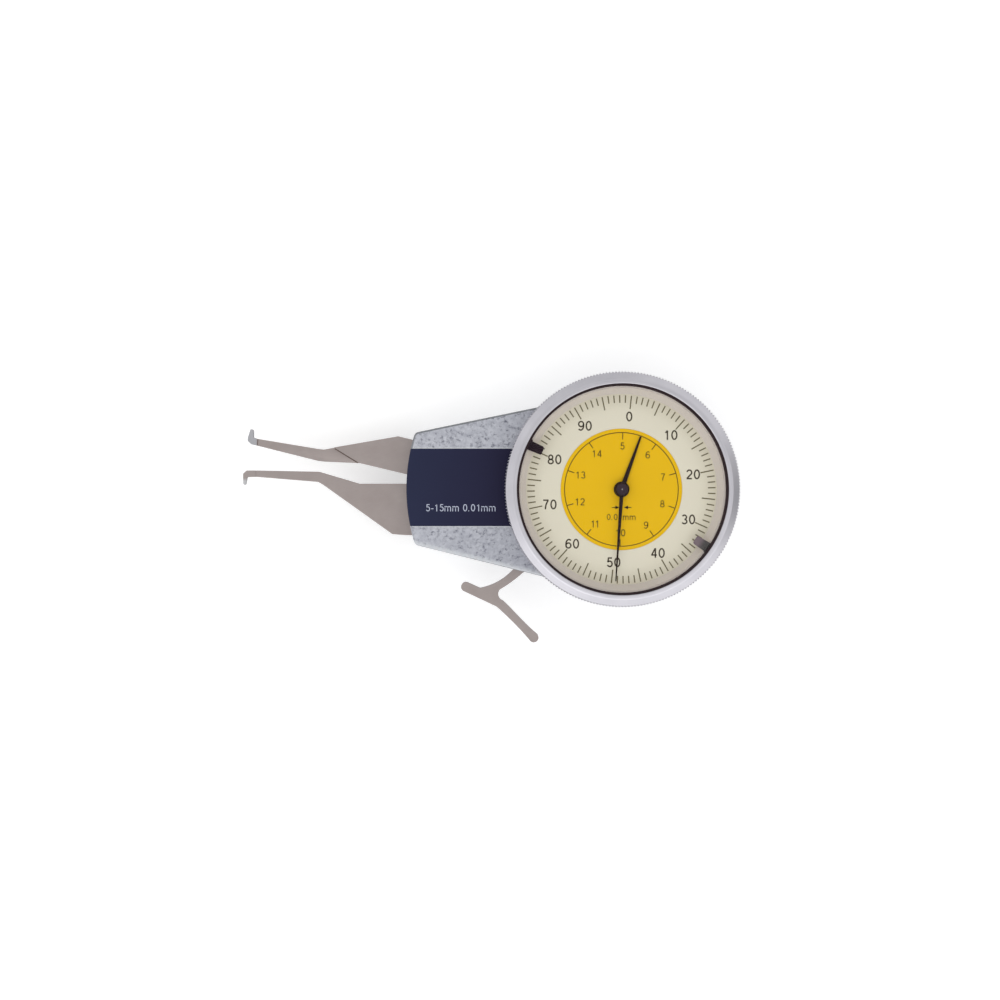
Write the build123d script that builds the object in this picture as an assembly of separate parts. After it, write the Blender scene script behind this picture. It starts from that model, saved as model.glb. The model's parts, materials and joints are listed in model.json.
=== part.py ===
from build123d import *
import os
from math import acos, asin, ceil, cos, degrees, floor, hypot, pi, radians, sin, tan

# Dial caliper gauge for internal sizes of 5 to 15 mm, lying on its rear cover with the dial up.
# Millimetres. The dial axis is Z at X = Y = 0, the rear face is Z = 0 and the arms point to -X.
# Two flat arms leave the handle. One is fixed, the other turns about the pivot shaft when the
# finger lever is pulled, and its toothed sector drives a train of wheels to the two hands.

# Clearances that every fit shares
FLAT_PLAY = 0.05
RUN_CLEAR = 0.03
HOLE_CLEAR = 0.02
END_PLAY = 0.1
BODY_GAP = 0.5

# Case and handle, seen from the front
CASE_R = 28.0
CASE_WALL = 2.5
COVER_T = 2.0
DECK_TOP = 18.0
DECK_T = 2.0
DECK_EDGE = 0.5
COVER_EDGE = 0.5
HANDLE_WALL = 2.0
HANDLE_END_X = -57.55
HANDLE_CORNER_X = -55.2
HANDLE_TOP_Y = 15.35
HANDLE_TOP_IN = 1.83
HANDLE_LOW_Y = -14.9
HANDLE_LOW_IN = 0.25
HANDLE_CORNER_R = 1.6
NECK_H = 3.0
LIP_T = 1.5
LIP_W = 4.0
BOSS_WALL = 1.2
LUG_RING_IN = 2.7
LUG_R = 3.0
LUG_T = 5.0
LUG_ANGLES = (50, 118, -80)

# Openings of the housing: mouth for the arms and slot for the lever
MOUTH_TOP_Y = 14.6
MOUTH_LOW_Y = -13.2
MOUTH_SIDE_GAP = 0.6
MOUTH_RUN = 6.0
MOUTH_START = 1.0
SLOT_LEFT_X = -31.3
SLOT_RIGHT_X = -17.9
SLOT_TOP_Y = -17.0

# Name plate in its recess on the handle
PLATE_TOP_Y = 11.0
PLATE_LOW_Y = -9.85
PLATE_T = 0.5
PLATE_SINK = 0.35
PLATE_INSET = 0.2
PLATE_NECK_GAP = 0.3

# Arms: flat steel, thinned to half where they pass each other
ARM_Z = 7.5
ARM_T = 3.0
BLADE_GAP = 0.1
STEP_REACH = 9.0
TIP_JOINT_X = -99.4
MOVING_TIP_WIDTH = (12.2, 14.1)
FIXED_TIP_WIDTH = (3.55, 5.3)

# Pivot, with its travel from wide open (15.5 mm over the tips) to closed
PIVOT_X = -45.5
PIVOT_Y = 3.2
TRAVEL_DEG = 10.8
HUB_R = 6.5
HUB_ROOT_SHARE = 0.7
SHAFT_R = 2.5
SHAFT_SEAT = 1.0
BUSH_R = 3.8
BUSH_PROUD = 0.2
PIVOT_BOSS_WALL = 1.1
TAIL_HALF = 3.0
TAIL_REACH = 22.5
TAIL_SCREWS_ALONG = (13.2, 19.5)
STOP_PIN_ALONG = 11.0
SPRING_PIN_ON_TAIL = (10.0, 1.7)
SPRING_POST_FROM_PIVOT = (-5.2, 9.3)

# Finger lever, stamped from sheet and screwed on the tail
LEVER_T = 1.8
LEVER_PAD_START = 11.9
LEVER_PAD_END = 21.3
LEVER_PAD_CORNER_R = 1.2
LEVER_STEM_W = 3.0
LEVER_END_R = 1.42

# Gear train: toothed sector, two wheels with pinions, centre pinion
MODULE = 0.25
SECTOR_TEETH = 240
FIRST_PINION_TEETH = 12
FIRST_WHEEL_TEETH = 72
SECOND_PINION_TEETH = 15
SECOND_WHEEL_TEETH = 52
CENTRE_PINION_TEETH = 14
MESH_CLEAR = 0.03
PRESSURE_DEG = 20.0
WHEEL_ADDENDUM = 0.65
PINION_ADDENDUM = 0.85
DEDENDUM = 1.15
TOOTH_SLACK = 0.14
SECTOR_T = 1.4
SECTOR_RIM = 3.0
SECTOR_SPARE_DEG = 3.6
SECTOR_SPOKE_DEG = 3.2
TOOTH_SINK = 0.3
WHEEL_T = 0.7
SPOKE_W = 1.1
RIM_SHARE = 0.82
WINDOW_START = 1.4
PINION_SPARE = 0.4
ARBOR_R = 0.6
PIVOT_R = 0.35
FIRST_WHEEL_Z = 13.5
SECOND_WHEEL_Z = 9.6

# Movement plates and their fixings
LOWER_PLATE_Z = 3.4
LOWER_PLATE_PLAY = 0.7
UPPER_PLATE_Z = 16.2
UPPER_PLATE_R = 20.5
MOVEMENT_PLATE_T = 1.2
PILLAR_R = 1.4
PILLAR_INSET = 2.2
PILLAR_ANGLES = (0, 84, -115)

# Hands drive: ten turns of the long hand to one of the short hand
LOW_MODULE = 0.24
HIGH_MODULE = 0.26
HAND_PINION_TEETH = 12
REDUCTION_TEETH = 40
COUNTER_TEETH = 36
REDUCTION_DEG = 35.0
CANNON_Z = 17.7
COUNTER_Z = 18.7
STUD_R = 0.62
STUD_HEAD_T = 0.3
TUBE_R = 1.5
CANNON_R = 0.95

# Dials and hands
DIAL_BASE_T = 0.5
DIAL_T = 0.4
INNER_DIAL_R = 16.15
DIAL_PLAY = 0.15
DIAL_BASE_PLAY = 0.25
HAND_T = 0.22
HAND_RISE = 0.55
HAND_STEP = 0.85
SHORT_HAND_LENGTH = 14.9
SHORT_HAND_DEG = 70.1
SHORT_HAND_WIDTHS = (1.3, 0.5)
SHORT_BOSS_WALL = 0.6
LONG_HAND_TIP_GAP = 1.0
LONG_HAND_DEG = -93.8
LONG_HAND_WIDTHS = (1.1, 0.28)
HUB_CAP_R = 1.95
HUB_CAP_H = 0.83
HUB_CAP_EDGE = 0.32

# Bezel with what turns in it
BEZEL_GAP = 0.3
BEZEL_H = 8.2
BEZEL_WALL = 3.2
BEZEL_FOOT_IN = 0.9
BEZEL_FLAT_W = 1.15
BEZEL_MOUTH_IN = 0.15
BEZEL_LEDGE_W = 0.8
BEZEL_LEDGE_T = 0.5
KNURL_LOW_IN = 1.3
KNURL_TOP_IN = 2.0
KNURL_COUNT = 100
KNURL_DEPTH = 0.25
GASKET_W = 0.6
GASKET_DOWN = 0.4
CRYSTAL_T = 1.4
CRYSTAL_DOWN = 0.2
CRYSTAL_BEVEL = 0.3
SPACER_SHELF = 0.45
SPACER_FOOT_W = 1.85
SPACER_LIP_W = 0.4
MARKER_T = 0.35
MARKER_REACH = 3.95
MARKER_WIDTH = 2.5
MARKER_FOOT_SHARE = 1.5
LOW_MARKER_DEG = 154.6
HIGH_MARKER_DEG = -34.4
SNAP_RING_W = 0.8
SNAP_RING_RISE = 1.0
SNAP_RING_GAP_DEG = 24.0

# Springs
WIRE_W = 0.6
SPRING_COIL_R = 5.0
SPRING_TURNS = 2.25
SPRING_PITCH = 0.95
SPRING_LOW_Z = 11.6
LOW_LEG_LENGTH = 10.5
HIGH_LEG_LENGTH = 9.5
HAIR_Z = 6.4
HAIR_T = 0.12
HAIR_H = 0.6
HAIR_TURNS = 3
HAIR_STEPS = 12
HAIR_GROWTH = 1.3
COLLET_R = 1.25
STUD_POST_R = 0.6

# Fasteners and pins
SCREW_R = 1.0
SCREW_HEAD_R = 1.9
SCREW_HEAD_T = 1.0
SMALL_SCREW_R = 0.5
SMALL_HEAD_R = 0.95
SMALL_HEAD_T = 0.7
SCREW_SLOT_W = 0.4
SCREW_SHORT = 0.2
COVER_SCREW_LENGTH = 8.0
ARM_SCREW_LENGTH = 6.5
LUG_SCREW_LENGTH = 5.2
PILLAR_SCREW_DEPTH = 2.0
BASE_SCREW_DEPTH = 1.2
TOP_SCREW_RUN = 13.2
TOP_SCREW_IN = 4.0
LOW_SCREW_RUN = 21.6
LOW_SCREW_IN = 3.2
BASE_SCREW_IN = 1.3
BASE_SCREW_ANGLES = (90, 210, 330)
PIN_R = 1.25
PIN_SEAT = 1.0
SPRING_PIN_R = 0.7
SPRING_PIN_SEAT = 1.5

# Sizes and places that follow from the ones above
CENTRE = Vector(0, 0)
PIVOT = Vector(PIVOT_X, PIVOT_Y)
MID_Z = ARM_Z + ARM_T / 2
ARM_TOP = ARM_Z + ARM_T
DECK_LOW = DECK_TOP - DECK_T
NECK_TOP = DECK_TOP + NECK_H
LIP_BORE_R = CASE_R - LIP_W
LUG_RING_R = CASE_R - CASE_WALL - LUG_RING_IN
LUG_LOW = LOWER_PLATE_Z + MOVEMENT_PLATE_T
LOWER_PLATE_R = CASE_R - CASE_WALL - LOWER_PLATE_PLAY
PILLAR_RING_R = UPPER_PLATE_R - PILLAR_INSET
BEZEL_LOW = DECK_TOP + BEZEL_GAP
BEZEL_TOP = BEZEL_LOW + BEZEL_H
BEZEL_R = CASE_R + BEZEL_WALL
BEZEL_MOUTH_R = CASE_R - BEZEL_MOUTH_IN
BEZEL_LEDGE_R = BEZEL_MOUTH_R - BEZEL_LEDGE_W
GROOVE_LOW = BEZEL_LOW + SNAP_RING_RISE
CRYSTAL_R = BEZEL_MOUTH_R - GASKET_W
CRYSTAL_TOP = BEZEL_TOP - CRYSTAL_DOWN
CRYSTAL_LOW = CRYSTAL_TOP - CRYSTAL_T
SHELF_Z = CRYSTAL_LOW - SPACER_SHELF
SPACER_FOOT_R = CRYSTAL_R - SPACER_FOOT_W
SPACER_LIP_R = CRYSTAL_R - SPACER_LIP_W
DIAL_BASE_TOP = NECK_TOP + DIAL_BASE_T
DIAL_Z = NECK_TOP + FLAT_PLAY + BEZEL_LEDGE_T
SHORT_HAND_Z = DIAL_Z + DIAL_T + HAND_RISE
LONG_HAND_Z = SHORT_HAND_Z + HAND_STEP
LEVER_TOP = ARM_TOP + LEVER_T


def polar(radius, angle, origin=CENTRE):
    """Point at a radius and angle in degrees from the origin."""
    return origin + Vector(radius * cos(radians(angle)), radius * sin(radians(angle)))


def bearing_deg(start, end):
    """Direction from start to end, in degrees."""
    step = end - start
    angle = degrees(acos(step.X / hypot(step.X, step.Y)))
    return angle if step.Y >= 0 else -angle


# Flanks of the handle, each along a line that passes the dial axis a little inside the case's wall
TOP_CORNER = Vector(HANDLE_CORNER_X, HANDLE_TOP_Y)
LOW_CORNER = Vector(HANDLE_CORNER_X, HANDLE_LOW_Y)
TOP_FLANK_DEG = bearing_deg(TOP_CORNER, CENTRE) + degrees(asin((CASE_R - HANDLE_TOP_IN) / TOP_CORNER.length))
LOW_FLANK_DEG = bearing_deg(LOW_CORNER, CENTRE) - degrees(asin((CASE_R - HANDLE_LOW_IN) / LOW_CORNER.length))

# Centres of the train, worked out from the tooth counts
FIRST_REACH = (SECTOR_TEETH - FIRST_PINION_TEETH) * MODULE / 2 - MESH_CLEAR
SECOND_REACH = (FIRST_WHEEL_TEETH + SECOND_PINION_TEETH) * MODULE / 2 + MESH_CLEAR
CENTRE_REACH = (SECOND_WHEEL_TEETH + CENTRE_PINION_TEETH) * MODULE / 2 + MESH_CLEAR
TAIL_DEG = bearing_deg(PIVOT, CENTRE)
FIRST = polar(FIRST_REACH, TAIL_DEG, PIVOT)
FIRST_TO_CENTRE = hypot(FIRST.X, FIRST.Y)
ELBOW_COS = (FIRST_TO_CENTRE**2 + SECOND_REACH**2 - CENTRE_REACH**2) / (2 * FIRST_TO_CENTRE * SECOND_REACH)
SECOND = polar(SECOND_REACH, bearing_deg(FIRST, CENTRE) + degrees(acos(ELBOW_COS)), FIRST)
REDUCTION_REACH = (HAND_PINION_TEETH + REDUCTION_TEETH) * LOW_MODULE / 2 + MESH_CLEAR
REDUCTION = polar(REDUCTION_REACH, REDUCTION_DEG)


def on_tail(along, across=0.0):
    """Place on the moving arm's tail, which points from the pivot to the dial axis."""
    return polar(across, TAIL_DEG + 90, polar(along, TAIL_DEG, PIVOT))


def in_flank(corner, flank_deg, run, across):
    """Place in the handle, a run along a flank from its corner and then across it."""
    return polar(across, flank_deg + 90, polar(run, flank_deg, corner))


# Places of screws and pins
TAIL_SCREWS = [on_tail(along) for along in TAIL_SCREWS_ALONG]
STOP_PIN_AT = on_tail(STOP_PIN_ALONG, -TAIL_HALF - PIN_R - HOLE_CLEAR)
SPRING_PIN_AT = on_tail(*SPRING_PIN_ON_TAIL)
SPRING_POST_AT = PIVOT + Vector(*SPRING_POST_FROM_PIVOT)
ARM_SCREWS = (Vector(-52.0, -8.6), Vector(-43.5, -10.2))
HANDLE_SCREWS = (
    in_flank(TOP_CORNER, TOP_FLANK_DEG, TOP_SCREW_RUN, -TOP_SCREW_IN),
    in_flank(LOW_CORNER, LOW_FLANK_DEG, LOW_SCREW_RUN, LOW_SCREW_IN),
)
RIM_SCREWS = (polar(CASE_R - CASE_WALL + HOLE_CLEAR, 20), polar(CASE_R - CASE_WALL + HOLE_CLEAR, -20))
COVER_SCREWS = HANDLE_SCREWS + RIM_SCREWS
LUG_SCREWS = [polar(LUG_RING_R, angle) for angle in LUG_ANGLES]
PILLARS = [polar(PILLAR_RING_R, angle) for angle in PILLAR_ANGLES]
BASE_SCREWS = [polar(LIP_BORE_R + BASE_SCREW_IN, angle) for angle in BASE_SCREW_ANGLES]


def layer(sketch, low, top):
    """Flat piece of the sketch's outline between two heights."""
    return Pos(0, 0, low) * extrude(sketch, top - low)


def disc(radius, low, top, at=CENTRE):
    return layer(Pos(at.X, at.Y) * Circle(radius), low, top)


def tube(outer, inner, low, top, at=CENTRE):
    return layer(Pos(at.X, at.Y) * (Circle(outer) - Circle(inner)), low, top)


def outline(points):
    return make_face(Polyline(*points, close=True))


def turned(points):
    """Solid of revolution about Z from a closed outline of radius and height."""
    section = make_face(Polyline(*[(r, 0, z) for r, z in points], close=True))
    return revolve(section, Axis.Z)


def save(name, shape):
    export_step(shape, f"parts/{name}.step")


def save_group(name, pieces):
    """One file for a group of equal pieces that stay separate solids."""
    save(name, Compound([piece.solid() for piece in pieces]))


# Screws

def cheese_screw(at, head_low, length, radius, head_r, head_t, down):
    """Round head with its shank, which points down or up from it."""
    shank_low = head_low - length if down else head_low + head_t
    return disc(head_r, head_low, head_low + head_t, at) + disc(radius, shank_low, shank_low + length, at)


def countersunk(face_z, length, radius, head_r, up):
    """Form of a screw with its head level with a face. Up means that the shank points up."""
    way = 1 if up else -1
    depth = head_r - radius
    profile = [(0, 0), (head_r, 0), (radius, depth), (radius, length), (0, length)]
    return turned([(r, face_z + way * z) for r, z in profile])


def flush_hole(at, face_z, length, radius, head_r, up):
    """Hole for such a screw, with its clearance."""
    hole = countersunk(face_z, length, radius + HOLE_CLEAR, head_r + HOLE_CLEAR, up)
    return Pos(at.X, at.Y) * hole


def cover_screw(at):
    """Countersunk screw in the rear cover, with a driver's slot."""
    screw = countersunk(0, COVER_SCREW_LENGTH, SCREW_R, SCREW_HEAD_R, True)
    slot_depth = (SCREW_HEAD_R - SCREW_R) / 2
    slot = Pos(0, 0, slot_depth / 2) * Box(2 * SCREW_HEAD_R, SCREW_SLOT_W, slot_depth)
    return Pos(at.X, at.Y) * (screw - slot)


# Case

def handle_outline():
    """Tapered handle with a bowed end, whose flanks run into the wall of the round case."""
    top_right = polar(CASE_R - HANDLE_TOP_IN, TOP_FLANK_DEG + 90)
    low_right = polar(CASE_R - HANDLE_LOW_IN, LOW_FLANK_DEG - 90)
    bow_middle = (HANDLE_END_X, (HANDLE_TOP_Y + HANDLE_LOW_Y) / 2)
    bow = ThreePointArc(TOP_CORNER, bow_middle, LOW_CORNER)
    handle = make_face(Curve() + [bow, Polyline(LOW_CORNER, low_right, top_right, TOP_CORNER)])
    corners = handle.vertices().sort_by(Axis.X)[:2]
    return fillet(corners, HANDLE_CORNER_R)


def outer_edges(body, height):
    """Edges of the handle at a height, without the one that the round case swallows."""
    level = body.edges().filter_by_position(Axis.Z, height, height)
    return level.sort_by(Axis.X)[:-1]


def housing():
    """Casting: handle with closed deck, open round case with a neck for the bezel."""
    body = layer(handle_outline(), COVER_T, DECK_TOP)
    body = chamfer(outer_edges(body, DECK_TOP), DECK_EDGE)
    body += disc(CASE_R, COVER_T, NECK_TOP)
    body -= layer(offset(handle_outline(), -HANDLE_WALL), COVER_T, DECK_LOW)
    body -= disc(CASE_R - CASE_WALL, COVER_T, NECK_TOP - LIP_T)
    body -= disc(LIP_BORE_R, NECK_TOP - LIP_T, NECK_TOP)
    body += housing_bosses()
    body -= housing_openings()
    body -= housing_holes()
    return body


def housing_bosses():
    """Posts inside for the shaft, the screws and the movement, kept within the outer walls."""
    inside = layer(handle_outline() + Circle(CASE_R), COVER_T, DECK_LOW)
    bosses = disc(SHAFT_R + PIVOT_BOSS_WALL, ARM_TOP + BUSH_PROUD + END_PLAY, DECK_LOW, PIVOT)
    for at in ARM_SCREWS:
        bosses += disc(SCREW_HEAD_R + BOSS_WALL / 2, ARM_TOP, DECK_LOW, at)
    for at in HANDLE_SCREWS:
        bosses += disc(SCREW_R + BOSS_WALL, COVER_T, DECK_LOW, at)
    for at in RIM_SCREWS:
        bosses += disc(SCREW_R + BOSS_WALL, COVER_T, COVER_SCREW_LENGTH + BOSS_WALL, at)
    for at in LUG_SCREWS:
        bosses += disc(LUG_R, LUG_LOW, LUG_LOW + LUG_T, at)
    return bosses & inside


def housing_openings():
    """Mouth for the arms, slot for the lever, recess for the name plate, groove for the snap ring."""
    mouth_at = Pos(HANDLE_END_X + MOUTH_RUN / 2 - MOUTH_START, (MOUTH_TOP_Y + MOUTH_LOW_Y) / 2, MID_Z)
    cuts = mouth_at * Box(MOUTH_RUN, MOUTH_TOP_Y - MOUTH_LOW_Y, ARM_T + 2 * MOUTH_SIDE_GAP)
    slot_at = Pos((SLOT_LEFT_X + SLOT_RIGHT_X) / 2, (SLOT_TOP_Y - CASE_R) / 2, ARM_TOP + LEVER_T / 2)
    cuts += slot_at * Box(SLOT_RIGHT_X - SLOT_LEFT_X, CASE_R + SLOT_TOP_Y, LEVER_T + 2 * BODY_GAP)
    cuts += layer(name_plate_outline(0), DECK_TOP - PLATE_SINK, DECK_TOP + PLATE_SINK)
    cuts += tube(CASE_R + SNAP_RING_W, CASE_R - SNAP_RING_W / 2, GROOVE_LOW, GROOVE_LOW + SNAP_RING_W)
    return cuts


def housing_holes():
    """Seats for the shaft and the pins, and holes for the screws."""
    cuts = disc(SHAFT_R, ARM_TOP, DECK_LOW + SHAFT_SEAT, PIVOT)
    for at in (STOP_PIN_AT, SPRING_POST_AT):
        cuts += disc(PIN_R, DECK_LOW, DECK_LOW + PIN_SEAT, at)
    for at in ARM_SCREWS:
        cuts += disc(SCREW_R + HOLE_CLEAR, ARM_TOP, ARM_Z + ARM_SCREW_LENGTH, at)
    for at in COVER_SCREWS:
        cuts += disc(SCREW_R + HOLE_CLEAR, COVER_T, COVER_SCREW_LENGTH, at)
    for at in LUG_SCREWS:
        cuts += disc(SCREW_R + HOLE_CLEAR, LUG_LOW, LOWER_PLATE_Z + LUG_SCREW_LENGTH, at)
    for at in BASE_SCREWS:
        cuts += disc(SMALL_SCREW_R + HOLE_CLEAR, NECK_TOP - BASE_SCREW_DEPTH, NECK_TOP, at)
    return cuts


def name_plate_outline(shrink):
    """Band along the handle, curved like its end, stopping short of the bezel's neck."""
    band_w = PLATE_TOP_Y - PLATE_LOW_Y - 2 * shrink
    band = Pos(HANDLE_END_X / 2, (PLATE_TOP_Y + PLATE_LOW_Y) / 2) * Rectangle(-HANDLE_END_X, band_w)
    inner = offset(handle_outline(), -PLATE_INSET - shrink)
    return (band & inner) - Circle(CASE_R + PLATE_NECK_GAP + shrink)


def rear_cover():
    """Flat cover with a socket for the pivot shaft and countersunk screw holes."""
    cover = layer(handle_outline(), 0, COVER_T)
    cover = chamfer(outer_edges(cover, 0), COVER_EDGE)
    back = disc(CASE_R, 0, COVER_T)
    cover += chamfer(back.edges().sort_by(Axis.Z)[0], COVER_EDGE)
    boss_top = ARM_Z - BUSH_PROUD - END_PLAY
    cover += disc(SHAFT_R + PIVOT_BOSS_WALL, COVER_T, boss_top, PIVOT)
    cover -= disc(SHAFT_R, COVER_T / 2, boss_top, PIVOT)
    for at in COVER_SCREWS:
        cover -= flush_hole(at, 0, COVER_T, SCREW_R, SCREW_HEAD_R, True)
    return cover


def bezel():
    """Turned ring with a knurled rim, a coned front and a ledge that the dial ring sits on."""
    root_r = BEZEL_R - KNURL_DEPTH
    core_r = root_r - FLAT_PLAY
    foot_r = BEZEL_R - BEZEL_FOOT_IN
    bore_r = CASE_R + FLAT_PLAY
    ledge_low = NECK_TOP + FLAT_PLAY
    knurl_low = BEZEL_LOW + KNURL_LOW_IN
    knurl_top = BEZEL_TOP - KNURL_TOP_IN
    groove_low = GROOVE_LOW - FLAT_PLAY
    groove_top = GROOVE_LOW + SNAP_RING_W + FLAT_PLAY
    groove_r = CASE_R + SNAP_RING_W / 2 + FLAT_PLAY
    ring = turned(
        [
            (bore_r, BEZEL_LOW),
            (foot_r, BEZEL_LOW),
            (foot_r, knurl_low),
            (core_r, knurl_low),
            (core_r, knurl_top),
            (BEZEL_MOUTH_R + BEZEL_FLAT_W, BEZEL_TOP),
            (BEZEL_MOUTH_R, BEZEL_TOP),
            (BEZEL_MOUTH_R, DIAL_Z),
            (BEZEL_LEDGE_R, DIAL_Z),
            (BEZEL_LEDGE_R, ledge_low),
            (bore_r, ledge_low),
            (bore_r, groove_top),
            (groove_r, groove_top),
            (groove_r, groove_low),
            (bore_r, groove_low),
        ]
    )
    ridges = []
    for ridge in range(KNURL_COUNT):
        angle = 360 * ridge / KNURL_COUNT
        ridges += [polar(BEZEL_R, angle), polar(root_r, angle + 180 / KNURL_COUNT)]
    return ring + layer(outline(ridges) - Circle(foot_r), knurl_low, knurl_top)


def snap_ring():
    """Open ring that keeps the bezel on the neck, half in each groove."""
    low = GROOVE_LOW + FLAT_PLAY
    inner_r = CASE_R - SNAP_RING_W / 2 + FLAT_PLAY
    ring = tube(CASE_R + SNAP_RING_W / 2, inner_r, low, low + SNAP_RING_W - 2 * FLAT_PLAY)
    gap = Pos(CASE_R, 0, low) * Box(CASE_R, CASE_R * radians(SNAP_RING_GAP_DEG), 2 * SNAP_RING_W)
    return ring - gap


def spacer_ring():
    """Pale ring between dial and crystal: coned inside, with a shelf that the markers slide on."""
    outer_r = BEZEL_MOUTH_R - FLAT_PLAY
    return turned(
        [
            (SPACER_FOOT_R, DIAL_Z + DIAL_T),
            (outer_r, DIAL_Z + DIAL_T),
            (outer_r, CRYSTAL_LOW),
            (CRYSTAL_R + FLAT_PLAY, CRYSTAL_LOW),
            (CRYSTAL_R + FLAT_PLAY, SHELF_Z),
            (SPACER_LIP_R, SHELF_Z),
        ]
    )


def crystal():
    return turned(
        [
            (0, CRYSTAL_LOW),
            (CRYSTAL_R, CRYSTAL_LOW),
            (CRYSTAL_R, CRYSTAL_TOP - CRYSTAL_BEVEL),
            (CRYSTAL_R - CRYSTAL_BEVEL, CRYSTAL_TOP),
            (0, CRYSTAL_TOP),
        ]
    )


def crystal_gasket():
    return tube(BEZEL_MOUTH_R, CRYSTAL_R, CRYSTAL_LOW, BEZEL_TOP - GASKET_DOWN)


def limit_marker(angle):
    """Tab seen against the dial's edge, on a foot that slides round under the crystal."""
    low = SHELF_Z + FLAT_PLAY
    middle_r = CRYSTAL_R - MARKER_REACH / 2
    tab = Pos(middle_r) * RectangleRounded(MARKER_REACH, MARKER_WIDTH, MARKER_WIDTH / 4)
    foot_deg = MARKER_FOOT_SHARE * degrees(MARKER_WIDTH / CRYSTAL_R)
    foot = (Circle(CRYSTAL_R) - Circle(SPACER_LIP_R)) & pie(-foot_deg / 2, foot_deg / 2, CRYSTAL_R)
    return Rot(0, 0, angle) * layer((tab & Circle(CRYSTAL_R)) + foot, low, low + MARKER_T)


# Arms

def moving_arm():
    """Blade from the tip joint to the hub, half as thick beyond the step, and the tail behind."""
    tip_low, tip_top = MOVING_TIP_WIDTH
    step_top = (-77.95, 11.64)
    step_low = (-71.0, 7.36)
    upper_edge = [(TIP_JOINT_X, tip_top), (-82.6, 11.3), (-80.9, 11.1), step_top, (-60.3, 14.7)]
    hub_sides = [(-56.5, 13.8), (PIVOT_X, PIVOT_Y + HUB_R), (PIVOT_X, PIVOT_Y - HUB_ROOT_SHARE * HUB_R)]
    lower_edge = [(-52.0, 3.0), (-58.8, 4.45), step_low, (-80.9, 7.8), (-82.6, 8.0), (TIP_JOINT_X, tip_low)]
    tail = Pos(TAIL_REACH / 2) * RectangleRounded(TAIL_REACH, 2 * TAIL_HALF, TAIL_HALF / 3)
    root = Pos(PIVOT_X, PIVOT_Y) * (Circle(HUB_R) + Rot(0, 0, TAIL_DEG) * tail)
    arm = layer(outline(upper_edge + hub_sides + lower_edge) + root, ARM_Z, ARM_TOP)
    arm -= layer(beyond_step(step_top, step_low), MID_Z - BLADE_GAP / 2, ARM_TOP)
    arm -= disc(BUSH_R, ARM_Z, ARM_TOP, PIVOT)
    for at in TAIL_SCREWS:
        arm -= disc(SMALL_SCREW_R + HOLE_CLEAR, ARM_Z, ARM_TOP, at)
    arm -= disc(SPRING_PIN_R, ARM_TOP - SPRING_PIN_SEAT, ARM_TOP, SPRING_PIN_AT)
    return arm


def beyond_step(top, low):
    """Area towards the tips from the line through two points."""
    along = (Vector(*top) - Vector(*low)).normalized() * STEP_REACH
    far_x = TIP_JOINT_X - STEP_REACH
    first, last = Vector(*top) + along, Vector(*low) - along
    return outline([first, last, Vector(far_x, last.Y), Vector(far_x, first.Y)])


def fixed_arm():
    """Deep root that is screwed into the handle, and a blade that is half as thick from the back."""
    tip_low, tip_top = FIXED_TIP_WIDTH
    step_top = (-70.9, 1.65)
    step_low = (-77.5, -1.35)
    upper_edge = [(TIP_JOINT_X, tip_top), (-82.0, 4.95), step_top, (-42.0, 1.65), (-38.0, -4.5)]
    lower_edge = [(-40.0, -12.6), (-58.0, -12.5), (-61.9, -12.2), (-80.9, 1.35), (-82.3, 2.15)]
    flat = outline(upper_edge + lower_edge + [(TIP_JOINT_X, tip_low)])
    flat -= Pos(PIVOT_X, PIVOT_Y) * Circle(HUB_R + BODY_GAP)
    flat -= Pos(STOP_PIN_AT.X, STOP_PIN_AT.Y) * Circle(PIN_R + BODY_GAP)
    arm = layer(flat, ARM_Z, ARM_TOP)
    arm -= layer(beyond_step(step_top, step_low), ARM_Z, MID_Z + BLADE_GAP / 2)
    for at in ARM_SCREWS:
        arm -= disc(SCREW_R + HOLE_CLEAR, ARM_Z, ARM_TOP, at)
    return arm


def moving_contact():
    """Hardened tip brazed to the blade, with its measuring point on the outside."""
    tip_low, tip_top = MOVING_TIP_WIDTH
    point = [(-100.4, 14.5), (-100.4, 16.4), (-100.7, 16.7), (-101.2, 16.7), (-101.95, 14.3)]
    back = [(-101.95, 13.5), (-101.0, 12.55), (TIP_JOINT_X, tip_low)]
    return layer(outline([(TIP_JOINT_X, tip_top)] + point + back), ARM_Z, MID_Z - BLADE_GAP / 2)


def fixed_contact():
    tip_low, tip_top = FIXED_TIP_WIDTH
    back = [(TIP_JOINT_X, tip_top), (-102.0, tip_top), (-102.95, 4.4)]
    point = [(-102.9, 1.6), (-102.6, 1.3), (-102.2, 1.5), (-101.85, 3.45), (TIP_JOINT_X, tip_low)]
    return layer(outline(back + point), MID_Z + BLADE_GAP / 2, ARM_TOP)


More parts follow.
